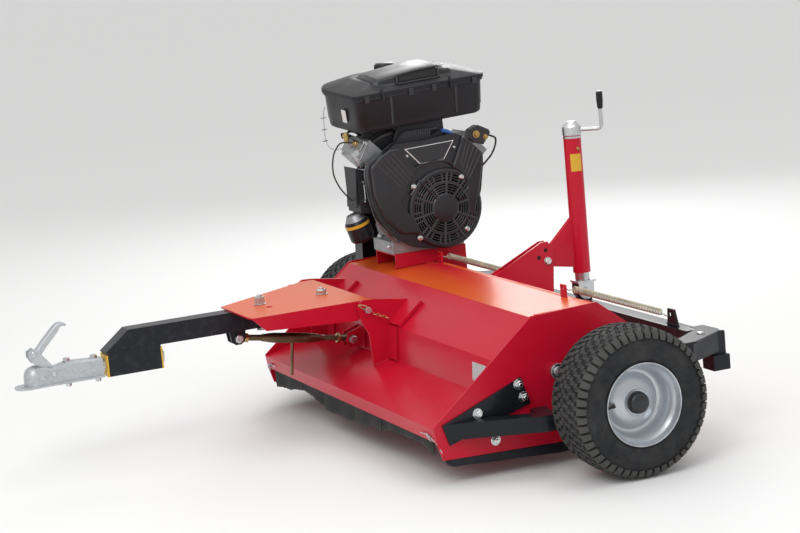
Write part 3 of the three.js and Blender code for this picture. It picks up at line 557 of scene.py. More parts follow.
# ---------------------------------------------------------------- plate work kept from the CAD, edges rounded
KEPT = [  # material, then each part with the width of its rounded edge
    ("red", {"deck_hood": 2.0, "side_panel_near": 1.2, "side_panel_far": 1.2, "hitch_ear_near": 2.0,
        "hitch_ear_far": 2.0, "turnbuckle_lug": 1.5, "jack_bracket": 1.4, "engine_pedestal": 1.8,
        "drawbar_housing": 1.2}),
    ("black", {"skid_near": 1.5, "skid_far": 1.5, "wheel_guard_near": 2.0, "wheel_guard_far": 2.0,
        "wheel_frame": 2.6, "drawbar": 3.0, "belt_guard": 2.5}),
    ("alloy", {"crankcase": 4.0, "engine_cylinders": 1.2}),
    ("plastic", {"intake_column": 4.0}),
    ("black", {"oil_filter": 3.0}),
    ("cast", {"cooling_fan": 1.0}),
    ("steel", {"flail_rotor": 1.0}),
    ("cast", {"rotor_pulley": 0.8, "engine_pulley": 0.8, "rotor_bearing_near": 2.0, "rotor_bearing_far": 2.0}),
    ("zinc", {"jack_clevis": 1.0, "clevis_pin": 1.0, "jack_inner": 0.6}),
    ("red", {"jack_outer": 1.2}),
    ("zinc", {"jack_cap": 2.0, "jack_crank": 0.6}),
    ("steel", {"flap_rod": 0.4}),
    ("rubber", {"drive_belt": 0.6}),
    ("zinc", {"pivot_pin_near": 1.5, "pivot_pin_far": 1.5, "hitch_pin_near": 1.0, "hitch_pin_far": 1.0,
        "swing_bolt": 1.0, "lock_bolt": 1.0, "turnbuckle_rear_bolt": 1.0, "turnbuckle_front_bolt": 1.0}),
    ("bronze", {"turnbuckle_rear_end": 1.0, "turnbuckle_front_end": 1.0}),
]
for mat, parts in KEPT:
    for node, bevel in parts.items():
        softened(node, mat, bevel)

# ---------------------------------------------------------------- wheels
WHEEL_X, AXLE_Z = 864.4, 203
CARCASS = [(104, 60), (112, 74), (122, 79.5), (124, 80.6), (127, 80.2), (140, 82), (150, 82.4), (152, 83.4),
    (154, 82.2), (166, 80.5), (176, 77.5), (186, 71), (193, 62), (196.5, 48), (198, 24), (198.4, 0)]
CARCASS += [(r, -h) for r, h in reversed(CARCASS[:-1])] + [(104, 60)]
BLOCK = [(-10, -11.5), (1, -11.5), (4, -3), (10.5, -1), (10.5, 11.5), (-1, 11.5), (-4, 3), (-10, 1)]
RIM = [(17, 40), (34, 40), (34, 32), (36, 30.5), (44, 28.5), (56, 25), (66, 19.5), (71, 14.5), (74, 10), (78, 7.5),
    (84, 8.5), (88, 13), (90.5, 22), (92, 34), (93.5, 46), (97, 55), (103, 62), (106.5, 68), (108, 75), (110, 79.5),
    (112.6, 80.6), (113.4, 78.6), (112.2, 75), (108, 71), (104, 62), (103, 58), (95, 40), (95, -40), (103, -58),
    (104, -62), (110, -72), (112.2, -75), (113.4, -78.6), (112.6, -80.6), (110, -79.5), (106, -70), (103, -62),
    (92, -50), (89, -20), (88, 2), (84, 4.5), (78, 3.5), (70, 8), (56, 20), (36, 26), (34, 24), (34, -40), (17, -40),
    (17, 40)]
PITCHES = 50  # tread blocks round the tyre
TREAD_R = 200


def crown(h):
    h = abs(h)
    return 203.2 - 0.0009 * h * h if h < 60 else 200 - (h - 60) * 0.35


def floor_r(h):
    h = abs(h)
    for (r0, h0), (r1, h1) in zip(CARCASS[11:15], CARCASS[12:16]):
        if h1 <= h <= h0:
            return r1 + (r0 - r1) * (h - h1) / (h0 - h1)
    return 190


def tread(bm, x0):
    def vert(t, h, r):
        a = t / TREAD_R
        return bm.verts.new(P(x0 + h, r * math.cos(a), AXLE_Z + r * math.sin(a)))

    step = TAU * TREAD_R / PITCHES
    for i in range(PITCHES):
        for col, h0 in enumerate((-54, -27, 0, 27, 54)):
            t0 = (i + (col % 2) * 0.5) * step
            turn = 1 if h0 >= 0 else -1
            shape = [(t, h * turn) for t, h in BLOCK]
            block = [[vert(t0 + t * k, h0 + h * k, (floor_r(h0 + h) - 2.5) if low else crown(h0 + h) - drop)
                for t, h in shape] for k, low, drop in ((1.05, 1, 0), (1.0, 0, 0.9), (0.93, 0, 0))]
            skin(bm, block)
            bm.faces.new(block[-1])
        for s in (-1, 1):
            t0 = (i + 0.5) * step
            stations = [(197.0, 67, 9.6, 0.2, 1), (191, 76, 9.4, 0.8, 0.7), (183, 80.5, 8.6, 0.98, 0.3),
                (177, 82.0, 7.4, 1, 0.05)]
            outer, inner = [], []
            for r, h, w, across, radial in stations:
                for store, lift in ((outer, 1.5), (inner, -3.5)):
                    store.append([vert(t0 + e * w, s * (h + across * lift), r + radial * lift) for e in (-1, 1)])
            for k in range(3):
                a, b, c, d = outer[k], outer[k + 1], inner[k], inner[k + 1]
                bm.faces.new((a[0], a[1], b[1], b[0]))
                bm.faces.new((a[0], b[0], d[0], c[0]))
                bm.faces.new((a[1], b[1], d[1], c[1]))
            bm.faces.new((*outer[0], *reversed(inner[0])))
            bm.faces.new((*outer[3], *reversed(inner[3])))


for side, label in ((1, "near"), (-1, "far")):
    x0 = side * WHEEL_X
    centre = (0, AXLE_Z)

    def carcass(bm):
        revolve(bm, "X", centre, [(r, x0 + side * h) for r, h in CARCASS], 120)
        tread(bm, x0)

    piece(f"tyre_{label}_rubber", "tyre", BODY[f"tyre_{label}"], carcass, smooth=32, replaces=(f"tyre_{label}",))
    turned(f"rim_{label}_pressing", "rim", BODY[f"rim_{label}"], "X", centre, [(r, x0 + side * h) for r, h in RIM],
        96, smooth=40, replaces=(f"rim_{label}",))
    cap = [(0, 63), (12, 62.6), (22, 60.5), (27, 56.5), (28.6, 53), (28.6, 45), (30.5, 43.6), (30.5, 40.6),
        (26, 40.6), (26, 50), (0, 58)]
    turned(f"hub_cap_{label}_moulding", "smooth_plastic", BODY[f"hub_cap_{label}"], "X", centre, [(r, x0 + side * h)
        for r, h in cap], 48, smooth=40, replaces=(f"hub_cap_{label}",))

    def stem(bm):
        h = x0 + side * 33
        sweep(bm, [(h, -95, 200), (h, -90, 200), (h, -84, 200.4), (h, -73, 201), (h, -72, 201), (h, -64, 201.4)],
            [6.5, 6, 4.6, 4, 4.9, 4.7], 16)

    piece(f"valve_stem_{label}", "rubber", BODY[f"rim_{label}"], stem)

# ---------------------------------------------------------------- lift springs, hooked between deck and crossbar
for label, a, b in (("near", (486, 34, 454), (531, 331, 336)), ("far", (-330, 34, 454), (-379, 331, 336))):
    start, end = Vector(a), Vector(b)
    run = (end - start).normalized()
    u = run.cross(Vector((1, 0, 0))).normalized()
    v = run.cross(u)
    length = (end - start).length
    hook, radius, pitch, wire = 24, 8.6, 5.0, 1.75
    turns = (length - 2 * hook) / pitch
    pts = [start + run * 2 + u * 5, start + run * 10 + u * 6.5, start + run * 18 + u * 3, start + run * 22 + u * 4]
    steps = int(turns * 12)
    for i in range(steps + 1):
        t = i / 12 * TAU
        pts.append(start + run * (hook + pitch * i / 12) + (u * math.cos(t) + v * math.sin(t)) * radius)
    pts += [end - run * 20 + u * 4, end - run * 14 + u * 3, end - run * 8 + u * 6.5, end - run * 2 + u * 5]
    bm = bmesh.new()
    sweep(bm, [tuple(p) for p in pts], wire, 7)
    spring = finish_object(f"lift_spring_{label}_coil", bm, "spring", None, smooth=50,
        replaces=(f"lift_spring_{label}",))
    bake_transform(spring)

# ---------------------------------------------------------------- engine shroud
LEFT_LOBE = [(-183, 758), (-150, 787), (-112, 806), (-76, 807), (-32, 739), (-29, 725), (-57, 691), (-72, 660),
    (-88, 636), (-68, 600), (-43, 571), (-24, 526), (-93, 531), (-151, 590), (-180, 670)]
RIGHT_LOBE = [(133, 819), (149, 813), (203, 759), (206, 742), (178, 617), (155, 547), (137, 606), (138, 670),
    (118, 702), (92, 722), (109, 754), (132, 802)]
SHROUD = [(-192, 734), (-184, 763), (-132, 793), (-93, 818), (8, 818), (115, 829), (156, 808), (207, 754), (207, 724),
    (192, 641), (160, 551), (118, 506), (88, 484), (17, 473), (-51, 487), (-121, 531), (-169, 593), (-186, 658)]
FAN, FAN_R = (61, 598), 118
SHROUD_BACK, SHROUD_FACE = -366, -341


def inset(outline, k):
    cy = sum(a for a, _ in outline) / len(outline)
    cz = sum(b for _, b in outline) / len(outline)
    return [(cy + (a - cy) * k, cz + (b - cz) * k) for a, b in outline]


cut("shroud_back_plate", "alloy", DECK, "X", SHROUD, -371, SHROUD_BACK, bevel=0.6)


@made("smooth_plastic", DECK, bevel=8, segments=4, replaces=("blower_housing",), angle=50)
def shroud_shell(bm):
    # the face has a round hole for the fan screen
    hole = circle(*FAN, FAN_R, len(SHROUD) * 4)
    outline = []
    for i, (a, b) in enumerate(SHROUD):
        c, d = SHROUD[(i + 1) % len(SHROUD)]
        outline += [(a + (c - a) * t / 4, b + (d - b) * t / 4) for t in range(4)]
    outline.sort(key=lambda q: math.atan2(q[1] - FAN[1], q[0] - FAN[0]))
    start = min(range(len(hole)), key=lambda i: abs(math.atan2(hole[i][1] - FAN[1], hole[i][0] - FAN[0]) + math.pi))
    ring = hole[start:] + hole[:start]
    layers = ((outline, SHROUD_BACK), (outline, SHROUD_FACE), (ring, SHROUD_FACE), (ring, -352))
    skins = [[bm.verts.new(place("X", a, b, x)) for a, b in pts] for pts, x in layers]
    skin(bm, skins, caps=True)


for name, lobe in (("left", LEFT_LOBE), ("right", RIGHT_LOBE)):
    cut(f"shroud_lobe_{name}", "smooth_plastic", DECK, "X", inset(lobe, 0.985), -345, -329, bevel=9, segments=4)


@made("smooth_plastic", DECK)
def shroud_ribs(bm):
    for starts, ends in (([(-170, 773), (-155, 782), (-141, 790), (-126, 795), (-111, 798)],
        [(-79, 673), (-69, 680), (-58, 686), (-48, 693), (-35, 701)]),
        ([(148, 800), (161, 794), (175, 786), (188, 776), (201, 764)], [(120, 723), (125, 710), (131, 696),
        (137, 685), (143, 675)])):
        for (y0, z0), (y1, z1) in zip(starts, ends):
            k0, k1 = 0.06, 0.94
            sweep(bm, [(-330.5, y0 + (y1 - y0) * k0, z0 + (z1 - z0) * k0), (-330.5, y0 + (y1 - y0) * k1,
                z0 + (z1 - z0) * k1)], 2.4, 8)
    for pts in ([(-56, 655), (-22, 695), (34, 628), (26, 619)], [(101, 627), (139, 665), (144, 654), (108, 624)]):
        sweep(bm, [(-331, y, z) for y, z in pts], 3.2, 8)
    sweep(bm, spline([(-334, -42, 731), (-331, -4, 745), (-331, 66, 747), (-334, 114, 717)], 6), 3.0, 8)


PLATE = [(-63, 799), (109, 807), (71, 751), (-15, 747)]
cut("shroud_name_plate", "pale", DECK, "X", PLATE, SHROUD_FACE, -336.5, bevel=1)
cut("shroud_name_field", "smooth_plastic", DECK, "X", inset(PLATE, 0.93), -337, -335.8, bevel=0.4)


@made("smooth_plastic", DECK, smooth=38)
def fan_screen(bm):
    revolve(bm, "X", FAN, [(112, -350), (112, -334), (115, -330), (120, -329.5), (124, -332), (127, -338),
        (127, -342), (112, -350)], 96)
    revolve(bm, "X", FAN, [(0, -329), (38, -329), (44, -331), (48, -335), (48, -346), (0, -346)], 64)
    for r, w in ((52, 4), (60, 4), (68, 4), (76, 11), (92, 4), (100, 4), (108, 5)):
        drop = -331 - (r - 50) * 0.03
        revolve(bm, "X", FAN, [(r, -341), (r, drop - 1), (r + 1, drop), (r + w - 1, drop), (r + w, drop - 1),
            (r + w, -341), (r, -341)], 72)
    for i in range(10):
        a = TAU * i / 10 + 0.2
        sweep(bm, [(-335.5, FAN[0] + r * math.cos(a), FAN[1] + r * math.sin(a)) for r in (44, 118)], 4.4, 8)
    for i in range(20):
        a = TAU * (i + 0.5) / 20 + 0.2
        sweep(bm, [(-335.8, FAN[0] + r * math.cos(a), FAN[1] + r * math.sin(a)) for r in (86, 116)], 3.4, 8)


# a flat black disc behind the fan screen: painted shade for the dark inside of the shroud
turned("fan_recess_shade", "painted_shade_black", DECK, "X", FAN, [(0, -351), (117, -351)], 48)
bolts("shroud_bolts", "chrome", DECK, [((-337, y, z), (1, 0, 0), 15, 7, 19, 0, 24)
    for y, z in ((-42, 679), (123, 689), (-35, 516), (129, 522))] + [((-336, y, z), (1, 0, 0), 7, 3.5, 9, 0, 24)
    for y, z in ((-56, 777), (107, 785), (-58, 605))])


@made("alloy", DECK)
def shroud_lower_flange(bm):
    sweep(bm, spline([(-374, -168, 606), (-374, -150, 561), (-374, -121, 527), (-374, -95, 502)], 6), 4, 8)


# ---------------------------------------------------------------- air cleaner
BOX = [(-345, -210), (-345, 231), (-375, 248), (-600, 246), (-640, 205), (-640, -170), (-610, -208), (-547, -237)]
BOX_MID = (-480, -5)


def rounded(outline, radius, n=5):
    """Corners of an outline turned into arcs."""
    out = []
    for i, c in enumerate(outline):
        a, b = Vector(outline[i - 1]), Vector(outline[(i + 1) % len(outline)])
        c = Vector(c)
        r = min(radius, (a - c).length * 0.45, (b - c).length * 0.45)
        p, q = c + (a - c).normalized() * r, c + (b - c).normalized() * r
        for k in range(n + 1):
            t = k / n
            out.append(tuple(p * (1 - t) ** 2 + c * 2 * t * (1 - t) + q * t * t))
    return out


def tip(x, y, h=0.0):
    """A point h above the tipped plane of the air cleaner's rim."""
    return (x + 0.1 * h, y - 0.0544 * h, 966 + (y + 210) * 0.0544 - (x + 345) * 0.1 + h)


def box_levels(bm, levels, radius):
    rings = []
    for h, k in levels:
        pts = [(BOX_MID[0] + (x - BOX_MID[0]) * k, BOX_MID[1] + (y - BOX_MID[1]) * k) for x, y in BOX]
        rings.append([bm.verts.new(P(*tip(x, y, h))) for x, y in rounded(pts, radius)])
    skin(bm, rings, caps=True)


@made("plastic", DECK, smooth=40, replaces=("air_cleaner_base",))
def air_cleaner_tub(bm):
    box_levels(bm, [(-104, 0.80), (-110, 0.90), (-106, 0.928), (-98, 0.938), (-84, 0.942), (-82, 0.949), (-10, 0.965),
        (-8, 0.968), (-7, 0.988), (-1, 0.99)], 30)


cut("air_cleaner_throat", "plastic", DECK, "X", [(-75, 826), (-62, 812), (98, 812), (102, 826), (98, 895),
    (-50, 885)], -530, -385, bevel=4)
piece("air_cleaner_rim", "plastic", DECK, lambda bm: box_levels(bm, [(-1, 0.985), (0, 1.0), (9, 1.002), (12, 0.992),
    (14, 0.965), (33, 0.66), (35, 0.62)], 22), bevel=1.2, smooth=22, replaces=("air_cleaner_lid",), angle=12)
STATIONS = [(-136, 24, 0.80), (-128, 40, 0.90), (-112, 47, 0.96), (-92, 50, 1), (-45, 55, 1), (10, 60, 1),
    (50, 62, 1), (86, 62, 1), (92, 52, 1), (112, 47, 0.98), (136, 44, 0.96), (146, 38, 0.9), (152, 22, 0.84)]


@made("smooth_plastic", DECK, bevel=1.2, smooth=24, angle=14)
def air_cleaner_hump(bm):
    rings = []
    for y, top, k in STATIONS:
        section = [(-352, 12), (-366, 20), (-374, 27), (-378, top - 10), (-384, top - 4), (-396, top - 1),
            (-420, top), (-480, top), (-522, top - 4), (-540, top - 14), (-556, 16)]
        rings.append([bm.verts.new(P(*tip(BOX_MID[0] + 20 + (x - BOX_MID[0] - 20) * k, y, max(h, 12))))
            for x, h in section])
    skin(bm, rings, caps=True)


# a flat black sheet across the air cleaner's mouth: painted shade for its dark inside
@made("painted_shade_black", DECK)
def air_cleaner_mouth_shade(bm):
    slab(bm, [tip(-373.6, -44, 28), tip(-373.6, 86, 28), tip(-376.6, 86, 53), tip(-376.6, -44, 47)], (1, 0, 0.1), 1.6)


@made("smooth_plastic", DECK)
def air_cleaner_brow(bm):
    for pts in ([tip(-373, -50, 50), tip(-373, 10, 55), tip(-373, 90, 57)], [tip(-373, -50, 50), tip(-371, -54, 26)],
        [tip(-373, 90, 57), tip(-370, 90, 26)], [tip(-366, -52, 24), tip(-366, 92, 24)]):
        sweep(bm, pts, 3.0, 8)


@made("smooth_plastic", DECK)
def air_cleaner_knob(bm):
    x, y = -594, 5
    base = tip(x, y, 14)
    skin(bm, [[bm.verts.new(P(x, y, base[2] + h)) for x, y in circle(base[0], base[1], r, 36)]
        for h, r in ((0, 31), (28, 31), (33, 30), (36, 26), (37, 0.1))])


@made("plastic", DECK, bevel=1)
def air_cleaner_latches(bm):
    slab(bm, [tip(-400, 92, 50), tip(-400, 126, 48), tip(-470, 126, 50), tip(-470, 92, 52)], (0, 0, 1), 2)
    for y in (-116, 118):
        sweep(bm, [tip(-350, y, 22), tip(-343, y, 6), tip(-341, y, -14)], 4.5, 8)


@made("smooth_plastic", DECK, bevel=0.6)
def air_cleaner_clips(bm):
    for y in (-87, 135):
        slab(bm, [tip(-349.5, y - 4, -6), tip(-349.5, y + 4, -6), tip(-353.5, y + 4, -96), tip(-353.5, y - 4, -96)],
            (1, 0, 0.05), 2.2)
    for y in (-170, -20, 60, 200):
        p = tip(-344, y, -4)
        slab(bm, [(p[0], p[1] - 8, p[2] - 9), (p[0], p[1] + 8, p[2] - 9), (p[0], p[1] + 8, p[2] + 12),
            (p[0], p[1] - 8, p[2] + 12)], (1, 0, 0), 3)


@made("plastic", DECK)
def air_cleaner_knob_grips(bm):
    for i in range(24):
        a = TAU * i / 24
        x, y = -592 + 31 * math.cos(a), 4 + 31 * math.sin(a)
        sweep(bm, [tip(x, y, 20), tip(x, y, 45)], 1.6, 8)


@made("pale", DECK)
def air_cleaner_label(bm):
    slab(bm, [tip(-418, -215, -40), tip(-444, -218, -40), tip(-444, -215, -80), tip(-418, -212, -80)], (0.1, -1, 0),
        1.2)


@made("plastic", DECK, bevel=1.2)
def intake_throat_ribs(bm):
    outline = [(-89, 811), (-54, 844), (-40, 851), (36, 852), (43, 828), (82, 840), (134, 821), (130, 812),
        (-80, 804)]
    prism(bm, "X", outline, -384, -362)
    for k in range(12):
        y = -48 + k * 8
        sweep(bm, [(-361.5, y, 812), (-361.5, y, 846)], 1.8, 6)


piece("wire_connector", "blue", DECK, lambda bm: (sweep(bm, [(-352, 77, 841), (-351, 95, 835), (-350, 111, 825)], 6.5,
    8)), bevel=0.8)
cut("ignition_coil", "smooth_plastic", DECK, "X", [(177, 828), (208, 842), (247, 822), (251, 811), (224, 776),
    (190, 786), (170, 804)], -392, -362, bevel=3)
bolts("ignition_coil_bracket", "brass", DECK, [((-362, 200, 812), (1, 0, 0), 13, 6, 24, 0, 6),
    ((-362, 232, 800), (1, 0, 0), 10, 5, 18, 0, 6)])


@made("rubber", DECK)
def ignition_leads(bm):
    for pts in ([(-358, 240, 806), (-352, 262, 790), (-362, 250, 745), (-380, 212, 700)],
        [(-356, 111, 825), (-350, 140, 812), (-356, 168, 806)]):
        sweep(bm, spline(pts, 8), 3.2, 8)


# ---------------------------------------------------------------- front cylinder, linkage, filter
COVER = [(-520, -164, 847), (-385, -158, 830), (-385, -191, 776), (-520, -199, 797)]


@made("alloy", DECK, bevel=3, segments=3)
def valve_cover_face(bm):
    slab(bm, COVER, (0.0, -0.87, 0.5), 4)


bolts("valve_cover_bolts", "chrome", DECK, [((x, y, z), (0, -0.87, 0.5), 10, 6, 15, 0, 6)
    for x, y, z in ((-508, -170, 842), (-397, -165, 826), (-397, -190, 786), (-508, -197, 801))])
bolts("cable_nut", "brass", DECK, [((-436, -178, 824), (0, -0.9, 0.3), 17, 10, 0, 6, 6)])
cable_points = spline([(-434, -190, 829), (-431, -225, 834), (-430, -243, 828), (-428, -264, 797), (-427, -270, 745),
    (-426, -255, 700), (-425, -231, 666), (-424, -216, 650)], 10)
curve = bpy.data.curves.new("engine_control_cable", "CURVE")
curve.dimensions = "3D"
line = curve.splines.new("POLY")
line.points.add(len(cable_points) - 1)
for dot, p in zip(line.points, cable_points):
    dot.co = (*P(*p), 1)
curve.bevel_depth, curve.bevel_resolution = 0.0024, 3
curve.materials.append(MAT["rubber"])
cable = bpy.data.objects.new("engine_control_cable", curve)
bpy.context.scene.collection.objects.link(cable)
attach(cable, DECK)


@made("plastic", DECK, bevel=1.2)
def control_panel(bm):
    slab(bm, [(-400, -201, 751), (-470, -203, 751), (-470, -212, 628), (-400, -209, 628)], (0, -1, 0), 5)
    slab(bm, [(-398, -204, 752), (-398, -186, 770), (-398, -150, 760), (-398, -150, 742)], (1, 0, 0), 3)


@made("zinc", DECK, bevel=0.8)
def throttle_bracket(bm):
    slab(bm, [(-395, -218, 800), (-395, -196, 812), (-395, -168, 762), (-395, -190, 752)], (1, 0, 0), 2.5)


@made("chrome", DECK)
def governor_linkage(bm):
    sweep(bm, [(-396, -183, 706), (-396, -182, 647)], 2.6, 10)
    for z in (706, 647):
        revolve(bm, "X", (-183, z), [(0, -404), (5, -403), (7, -399), (7, -394), (5, -390), (0, -389)], 16)
    sweep(bm, spline([(-560, -226, 940), (-560, -233, 905), (-560, -232, 830), (-552, -214, 802), (-530, -190, 806)],
        6), 1.8, 8)
    for z in (905, 868, 832):
        sweep(bm, [(-560, -242, z), (-560, -226, z)], 2.2, 8)
    sweep(bm, spline([(-404, -186, 650), (-402, -160, 640), (-400, -120, 660)], 6), 1.8, 8)


filter_dir = Vector((0, math.sin(0.3), -math.cos(0.3)))
filter_top = Vector((-434, -208, 592))


def filter_ring(bm, s0, s1, r0, r1, n=40):
    """A short collar round the tilted filter, s mm down from its top."""
    u = Vector((1, 0, 0))
    v = filter_dir.cross(u)
    skin(bm, [[bm.verts.new(P(*(filter_top + filter_dir * s + u * a + v * b))) for a, b in circle(0, 0, r, n)]
        for s, r in ((s0, r0 - 3), (s0, r0), (s1, r1), (s1, r1 - 3))])


piece("oil_filter_band", "yellow", DECK, lambda bm: filter_ring(bm, 14, 24, 39.6, 39.6))
piece("oil_filter_adapter", "alloy", DECK, lambda bm: [filter_ring(bm, -14, 4, 24 + k, 34) for k in (0, -8, -16)])
# the dark clutter of hoses and the carburettor under the air cleaner
cut("carburettor_body", "plastic", DECK, "X", [(-152, 800), (-150, 838), (-120, 856), (-60, 858), (-40, 812),
    (-100, 780)], -520, -402, bevel=6, segments=3)


@made("rubber", DECK)
def intake_hoses(bm):
    for pts, r in (([(-420, -60, 838), (-392, -80, 846), (-386, -120, 838), (-400, -150, 818)], 6),
        ([(-470, -150, 846), (-460, -175, 860), (-455, -196, 862), (-452, -204, 846)], 4),
        ([(-500, -150, 830), (-505, -185, 850), (-512, -196, 852), (-516, -192, 838)], 3),
        ([(-398, -60, 822), (-374, -40, 832), (-372, 20, 842), (-376, 70, 846)], 4)):
        sweep(bm, spline(pts, 8), r, 12)


piece("choke_fitting", "brass", DECK, lambda bm: (sweep(bm, [(-452, -206, 862), (-452, -206, 846), (-452, -205, 830)],
    [7, 9, 9], 12), sweep(bm, [(-470, -210, 850), (-440, -208, 850)], 3, 8)), bevel=0.5)
piece("valve_cover_panel", "alloy", DECK,
    lambda bm: (slab(bm, [(-506, -171, 838), (-400, -166, 823), (-400, -190, 784), (-506, -197, 800)],
    (0.0, -0.87, 0.5), 8), sweep(bm, [(-450, -176, 818), (-450, -196, 829)], 14, 24)), bevel=3, segments=3)

# ---------------------------------------------------------------- coupler: pressed channel, ball dome, lever
DRAW_X = -265
BALL = (DRAW_X, -1318)
SHANK_Z = 300
LEVER_PIN = (-1316, 369)
CHANNEL = [(-1117, 25, 327), (-1150, 25, 328), (-1222, 25.5, 332), (-1240, 26, 327), (-1262, 26.5, 322),
    (-1282, 28, 328), (-1302, 30, 331), (-1318, 30.5, 331)]


@made("galvanised", BODY["coupler_body"], bevel=0.6, smooth=45)
def coupler_pressing(bm):
    # a pressed U: each station has a rounded top and straight sides down to the flange
    outer, inner = [], []
    for y, w, top in CHANNEL:
        for store, k in ((outer, 0), (inner, 3.2)):
            half, crest = w - k, top - k
            section = [(-half, 276), (-half, crest - 12), (-half * 0.9, crest - 4), (-half * 0.62, crest - 0.6),
                (0, crest), (half * 0.62, crest - 0.6), (half * 0.9, crest - 4), (half, crest - 12), (half, 276)]
            store.append([bm.verts.new(P(DRAW_X + x, y, z)) for x, z in section])
    shell_of(bm, outer, inner)
    dome = [(31, 276), (31.4, 292), (30.6, 305), (27.5, 317), (21, 325.5), (12, 330.6), (0, 332)]
    revolve(bm, "Z", BALL, dome + [(0, 328), (11, 326.6), (19, 322), (24.5, 314), (27.6, 302), (27.8, 276),
        (31, 276)], 48)


FLANGE = [(-32, 0), (-33, -200), (-38, -228), (-30, -250), (-14, -259), (14, -259), (30, -250), (38, -228),
    (33, -200), (32, 0)]


def bearing(q):
    return math.atan2(q[1] - BALL[1], q[0] - BALL[0])


@made("galvanised", BODY["coupler_body"], bevel=1.2)
def coupler_flange(bm):
    for s in (-1, 1):
        strip = [(DRAW_X + s * 23, -1117), (DRAW_X + s * 32, -1117), (DRAW_X + s * 33, -1317),
            (DRAW_X + s * 23, -1300)]
        prism(bm, "Z", strip, 271, 277)
    ring = [(DRAW_X + x, -1117 + y) for x, y in FLANGE[1:-1]]
    hole = circle(*BALL, 28.6, 32)
    back = [(DRAW_X + 33, -1300), (DRAW_X - 33, -1300)]
    outline = ring + back
    outline.sort(key=bearing)
    dense = []
    for i, (a, b) in enumerate(outline):
        c, d = outline[(i + 1) % len(outline)]
        dense += [(a + (c - a) * t / 4, b + (d - b) * t / 4) for t in range(4)]
    pick = [min(hole, key=lambda h: abs((bearing(h) - bearing(q) + math.pi) % TAU - math.pi)) for q in dense]
    levels = [[bm.verts.new(P(*q, z)) for q in pts] for pts, z in ((dense, 271), (dense, 277), (pick, 277),
        (pick, 271))]
    skin(bm, levels + levels[:1])


CHEEK = [(-1262, 324), (-1294, 328), (-1320, 340), (-1332, 360), (-1331, 376), (-1316, 384), (-1302, 376),
    (-1280, 348)]
for s, label in ((1, "near"), (-1, "far")):
    cut(f"coupler_cheek_{label}", "galvanised", BODY["coupler_body"], "X", CHEEK, DRAW_X + s * 17 - 1.6,
        DRAW_X + s * 17 + 1.6, bevel=1.2)
turned("coupler_shank", "zinc", BODY["coupler_body"], "Y", (SHANK_Z, DRAW_X), [(0, -1122), (18, -1122), (19.8, -1120),
    (19.8, -932), (18, -930), (0, -930)], 40, replaces=("coupler_body",))


@made("zinc", BODY["coupler_body"], bevel=0.5)
def coupler_shank_nut(bm):
    revolve(bm, "Y", (SHANK_Z, DRAW_X), [(20, -937), (29, -937), (29, -934), (20, -934)], 40)
    hexagon(bm, (DRAW_X, -934, 300), (0, 1, 0), 42, 5)


bolts("coupler_fasteners", "zinc", BODY["coupler_body"], [((DRAW_X, y, z), (0, 0, 1), 19, 8, 24, 0, 6)
    for y, z in ((-1219, 331), (-1138, 327))] + [((DRAW_X + 26, y, z), (1, 0, 0), 13, 5, 0, 0, 24)
    for y, z in ((-1298, 299), (-1265, 303))] + [((DRAW_X + 28, y, 271), (0, 0, -1), 15, 9, 0, 0, 6)
    for y in (-1227, -1138)] + [((DRAW_X + s * 18.6, *LEVER_PIN), (s, 0, 0), 14, 3.5, 0, 0, 24) for s in (-1, 1)])
LEVER = [(-1318, 367), (-1303, 381), (-1290, 397), (-1276, 411), (-1262, 425), (-1253, 434), (-1245, 441),
    (-1238, 445.5), (-1231, 447.8), (-1221, 447.5), (-1214, 444.5), (-1210, 439)]


@made("galvanised", BODY["coupler_lever"], bevel=0.8, smooth=50, replaces=("coupler_lever",))
def coupler_lever_pressing(bm):
    # channel section opening downwards, wide at the top, narrowing to the rolled tip
    outer, inner = [], []
    for i, (y, z) in enumerate(LEVER):
        a, b = LEVER[max(i - 1, 0)], LEVER[min(i + 1, len(LEVER) - 1)]
        along = Vector((b[0] - a[0], b[1] - a[1])).normalized()
        up = Vector((-along.y, along.x))
        w = 14.5 - 0.1 * i
        depth = 19 if i < 6 else max(7, 19 - (i - 5) * 2.2)
        for store, k in ((outer, 0), (inner, 2.4)):
            rows = [(-w + k, -depth), (-w + k, -3 - k * 0.4), (-w + 3 + k, -k), (w - 3 - k, -k),
                (w - k, -3 - k * 0.4), (w - k, -depth)]
            store.append([bm.verts.new(P(DRAW_X + x, y + up.x * h, z + up.y * h)) for x, h in rows])
    shell_of(bm, outer, inner)


turned("coupler_lever_pin", "zinc", BODY["coupler_lever"], "X", LEVER_PIN, [(0, DRAW_X - 23), (5.8, DRAW_X - 23),
    (5.8, DRAW_X + 23), (0, DRAW_X + 23)], 24)
for y, label in ((-1105.5, "front"), (-940, "rear")):
    bm = bmesh.new()
    h = 32.2
    prism(bm, "Y", [(SHANK_Z + a * h, DRAW_X + b * h) for a, b in ((-1, -1), (-1, 1), (1, 1), (1, -1))], y - 2.6,
        y + 2.6)
    finish_object(f"coupler_bush_ring_{label}", bm, "yellow", BODY["drawbar"], 1.2, 2)

# ---------------------------------------------------------------- drawbar plate, bolts, linch pin, turnbuckle
bolts("drawbar_plate_bolts", "zinc", HITCH, [((DRAW_X, -610, 404.2), (0, 0, 1), 28, 17, 38, 10, 6),
    ((DRAW_X, -410, 404.2), (0, 0, 1), 28, 13, 38, 5, 6)])
bolts("turnbuckle_bolt_heads", "zinc", HITCH, [((-234, -697, 316), (1, 0, 0), 22, 8, 0, 0, 6)])
bolts("turnbuckle_rear_head", "zinc", DECK, [((-233, -331, 255), (1, 0, 0), 22, 8, 0, 0, 6)])

LINKS = 5


